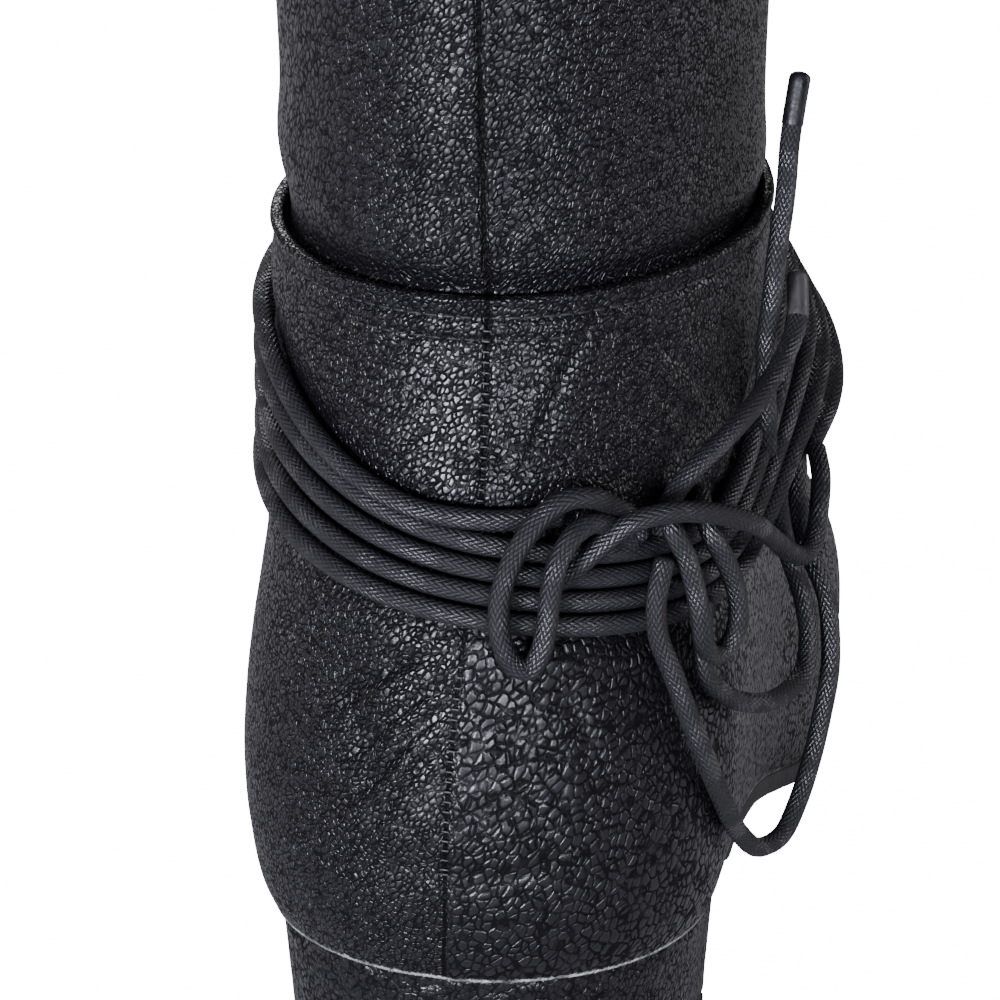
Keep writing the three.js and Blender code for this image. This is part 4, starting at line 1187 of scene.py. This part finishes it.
# %% Heel cover
def heel_height(share):
    over_lift = LIFT_THICKNESS + LIFT_GAP
    return lambda y: over_lift + (sole_line(y) - over_lift) * share


cover_rows = [(-4.0, heel_height(0.0)), (-2.6, heel_height(0.002)), (-2.15, heel_height(0.02))]
cover_shares = np.linspace(0.05, 0.96, 44)
cover_rows += [(0.1 - HEEL_TAPER * (1 - s) - 0.12 * math.sin(s * math.pi), heel_height(s)) for s in cover_shares]
cover_rows += [(0.02, heel_height(0.985)), (-0.5, heel_height(0.998)), (-2.5, heel_height(1.0))]
cover_rings = slab_rings(heel_outline, cover_rows)
cover_normal = ring_normals(cover_rings)
cover_relief = 0.16 * soft_noise(cover_rings, 12.0, 21) + 0.07 * soft_noise(cover_rings, 4.0, 23)
under_junction = sole_line(cover_rings[..., 1]) - cover_rings[..., 2]
cover_relief += bell(under_junction - 2.2, 1.6) * (0.62 * soft_noise(cover_rings, 1.9, 27) + 0.4 * soft_noise(
    cover_rings * (0.5, 0.5, 1.0), 1.4, 29))
cover_rings = cover_rings + cover_normal * cover_relief[..., None] * np.array(
    [0, 0, 0.5] + [1] * len(cover_shares) + [0.6, 0, 0])[:, None, None]


def large_pebbles_in_part(tree):
    return ramp(tree, noise(tree, place_in_mm(tree), 0.04, 1.0).outputs["Fac"], 0.3, 0.7, 0.2, 0.5)


cover_leather = leather_material("heel cover leather", 0.8, 1.7, 1.0, large_pebbles_in_part, False, False)
heel = ring_mesh("heel_cover", cover_rings, caps=True)
finish_piece(heel, cover_leather, "heel_cover", "heel_block")

# %% Rubber finishes
def rubber_material(name, dark, pale, tread):
    material, tree, shader = new_material(name)
    spot = place_in_mm(tree)
    fine = noise(tree, spot, 1.8, 5.0, 0.6).outputs["Fac"]
    rub = add_group(tree, rub_group, Place=spot, Cloud=22.0)
    tone = mix_colour(tree, rub.outputs["Rub"], dark, pale)
    tone = mix_colour(tree, math_node(tree, "MULTIPLY", rub.outputs["Specks"], 0.3), tone, (0.2, 0.2, 0.19, 1))
    tree.links.new(tone, shader.inputs["Base Color"])
    tree.links.new(ramp(tree, fine, 0.3, 0.7, 0.6, 0.78), shader.inputs["Roughness"])
    normal = bump(tree, shader, fine, 0.10, 0.6)
    if tread:
        wave = tree.nodes.new("ShaderNodeTexWave")
        wave.bands_direction = "Y"
        wave.wave_profile = "TRI"
        plug(tree, wave.inputs["Vector"], spot)
        plug(tree, wave.inputs["Scale"], 0.11)
        plug(tree, wave.inputs["Distortion"], 0.0)
        groove = ramp(tree, wave.outputs["Fac"], 0.05, 0.25)
        bump(tree, shader, groove, 0.6, 0.8, under=normal)
    return material


lift_rubber = rubber_material("top lift rubber", (0.008, 0.008, 0.009, 1), (0.018, 0.018, 0.018, 1), False)
sole_rubber = rubber_material("sole rubber", (0.009, 0.009, 0.0095, 1), (0.022, 0.021, 0.020, 1), True)
lift_rows = [(-4.0, 0.0), (-2.7, 0.0), (-2.35, 0.15), (-2.15, 0.5), (-2.1, 1.2)]
lift_rows += [(-2.1, h) for h in (2.2, 3.2, 4.2, 5.0)] + [(-2.14, 5.6), (-2.3, 5.9), (-2.7, 6.0), (-4.0, 6.0)]
top_lift = ring_mesh("top_lift", slab_rings(heel_outline, lift_rows), caps=True)
finish_piece(top_lift, lift_rubber, "rubber", "heel_top_lift")

# %% [markdown]
# ## Sole and insole
#
# The outsole starts at the breast of the heel, runs close under the waist and widens to a narrow welt
# round the forepart. Its underside has a shallow tread. The insole lies inside on the upper's turned
# margin, and it is what shows when one looks down the shaft.

# %% Outsole
sole_outline = outline(share_at(HEEL_LENGTH + 0.3), 1.0, lambda s: QUARTER_STEP + smooth_step(s, 0.3, 0.6),
                       count=260, radius=1.0, spacing=0.9)


def sole_height(down):
    return lambda y: sole_line(y) - down


sole_rows = [(-6.0, sole_height(4.0)), (-1.0, sole_height(4.0)), (-0.3, sole_height(3.9)), (0.0, sole_height(3.5))]
sole_rows += [(0.0, sole_height(d)) for d in (2.9, 2.3, 1.7, 1.1)]
sole_rows += [(-0.05, sole_height(0.5)), (-0.3, sole_height(0.12)), (-0.8, sole_height(0.02))]
sole_rows.append((-4.0, sole_height(0.0)))
outsole = ring_mesh("outsole_rubber", slab_rings(sole_outline, sole_rows), caps=True)
finish_piece(outsole, sole_rubber, "sole_rubber", "outsole")

# %% Insole
insole_leather, tree, shader = new_material("insole leather")
spot = place_in_mm(tree)
cloud = noise(tree, spot, 0.035, 4.0).outputs["Fac"]
grain = add_group(tree, grain_group, Place=spot, Cell=0.8, Shake=0.4)
tone = mix_colour(tree, cloud, (0.20, 0.145, 0.085, 1), (0.36, 0.27, 0.17, 1))
tree.links.new(tone, shader.inputs["Base Color"])
tree.links.new(ramp(tree, cloud, 0.3, 0.7, 0.5, 0.7), shader.inputs["Roughness"])
bump(tree, shader, grain.outputs["Height"], 0.05, 0.7)
insole_outline = outline(0.0, 1.0, lambda s: 0 * s - WALL - 0.6, count=260, radius=0.8, spacing=1.0)
insole_table = [(-5.0, 0.3), (-0.4, 0.3), (0.0, 0.6), (0.0, 1.9), (-0.4, 2.25), (-1.2, 2.3), (-5.0, 2.3)]
insole_rows = [(margin, sole_height(-rise_here)) for margin, rise_here in insole_table]
insole = ring_mesh("insole_leather", slab_rings(insole_outline, insole_rows), caps=True)
finish_piece(insole, insole_leather, "insole", "insole")

# %% [markdown]
# ## Floor and light
#
# The photograph was taken against pure white. Two soft lights stand low behind the camera, left and
# right, and draw the cool sheen beside the seam. Tall lights at the sides give the rims, and a weak one
# in front keeps the toe readable. The floor is white by its own glow, which only the camera sees.

# %% Floor
floor_material, tree, shader = new_material("white floor")
spot = place_in_mm(tree)
tint = noise(tree, spot, 0.004, 2.0).outputs["Fac"]
tone = mix_colour(tree, tint, (0.70, 0.70, 0.70, 1), (0.74, 0.74, 0.74, 1))
tree.links.new(tone, shader.inputs["Base Color"])
shader.inputs["Roughness"].default_value = 0.7
shader.inputs["Emission Color"].default_value = (1, 1, 1, 1)
sight = tree.nodes.new("ShaderNodeLightPath").outputs["Is Camera Ray"]
tree.links.new(math_node(tree, "MULTIPLY", sight, 16.0), shader.inputs["Emission Strength"])
floor_mesh = bpy.data.meshes.new("floor")
floor_mesh.from_pydata([(-4, -4, 0), (4, -4, 0), (4, 6, 0), (-4, 6, 0)], [], [(0, 1, 2, 3)])
floor = bpy.data.objects.new("floor", floor_mesh)
floor.location = (0, 0, cad_low[2] - 0.0002)
floor_mesh.materials.append(floor_material)
bpy.context.scene.collection.objects.link(floor)


# %% Lights
def soft_light(name, place, target, size, power, colour):
    data = bpy.data.lights.new(name, "AREA")
    data.shape = "RECTANGLE"
    data.size, data.size_y = size
    data.energy = power
    data.color = colour
    lamp = bpy.data.objects.new(name, data)
    lamp.location = place
    lamp.rotation_mode = "QUATERNION"
    lamp.rotation_quaternion = (Vector(target) - Vector(place)).to_track_quat("-Z", "Y")
    bpy.context.scene.collection.objects.link(lamp)


heel_middle = (0.0, 0.0, 0.1)
soft_light("behind_camera", (-0.42, -1.20, 0.19), heel_middle, (0.34, 0.20), 28, (0.86, 0.87, 1.0))
soft_light("behind_right", (0.50, -1.18, 0.22), heel_middle, (0.34, 0.30), 11, (0.86, 0.87, 1.0))
soft_light("over_camera", (0.20, -0.75, 1.25), heel_middle, (0.4, 0.4), 2.4, (0.88, 0.88, 1.0))
soft_light("left_side", (-1.0, 0.35, 0.40), heel_middle, (0.35, 0.8), 2.0, (0.97, 0.93, 1.0))
soft_light("right_side", (1.0, 0.45, 0.40), heel_middle, (0.35, 0.8), 4, (0.98, 0.93, 1.0))
soft_light("front_fill", (-0.5, 1.5, 0.7), (0.0, 0.1, 0.08), (0.8, 0.5), 7, (0.95, 0.95, 1.0))
world = bpy.data.worlds.new("studio")
world.use_nodes = True
world.node_tree.nodes["Background"].inputs["Color"].default_value = (1.0, 1.0, 1.0, 1)
world.node_tree.nodes["Background"].inputs["Strength"].default_value = 0.012
bpy.context.scene.world = world
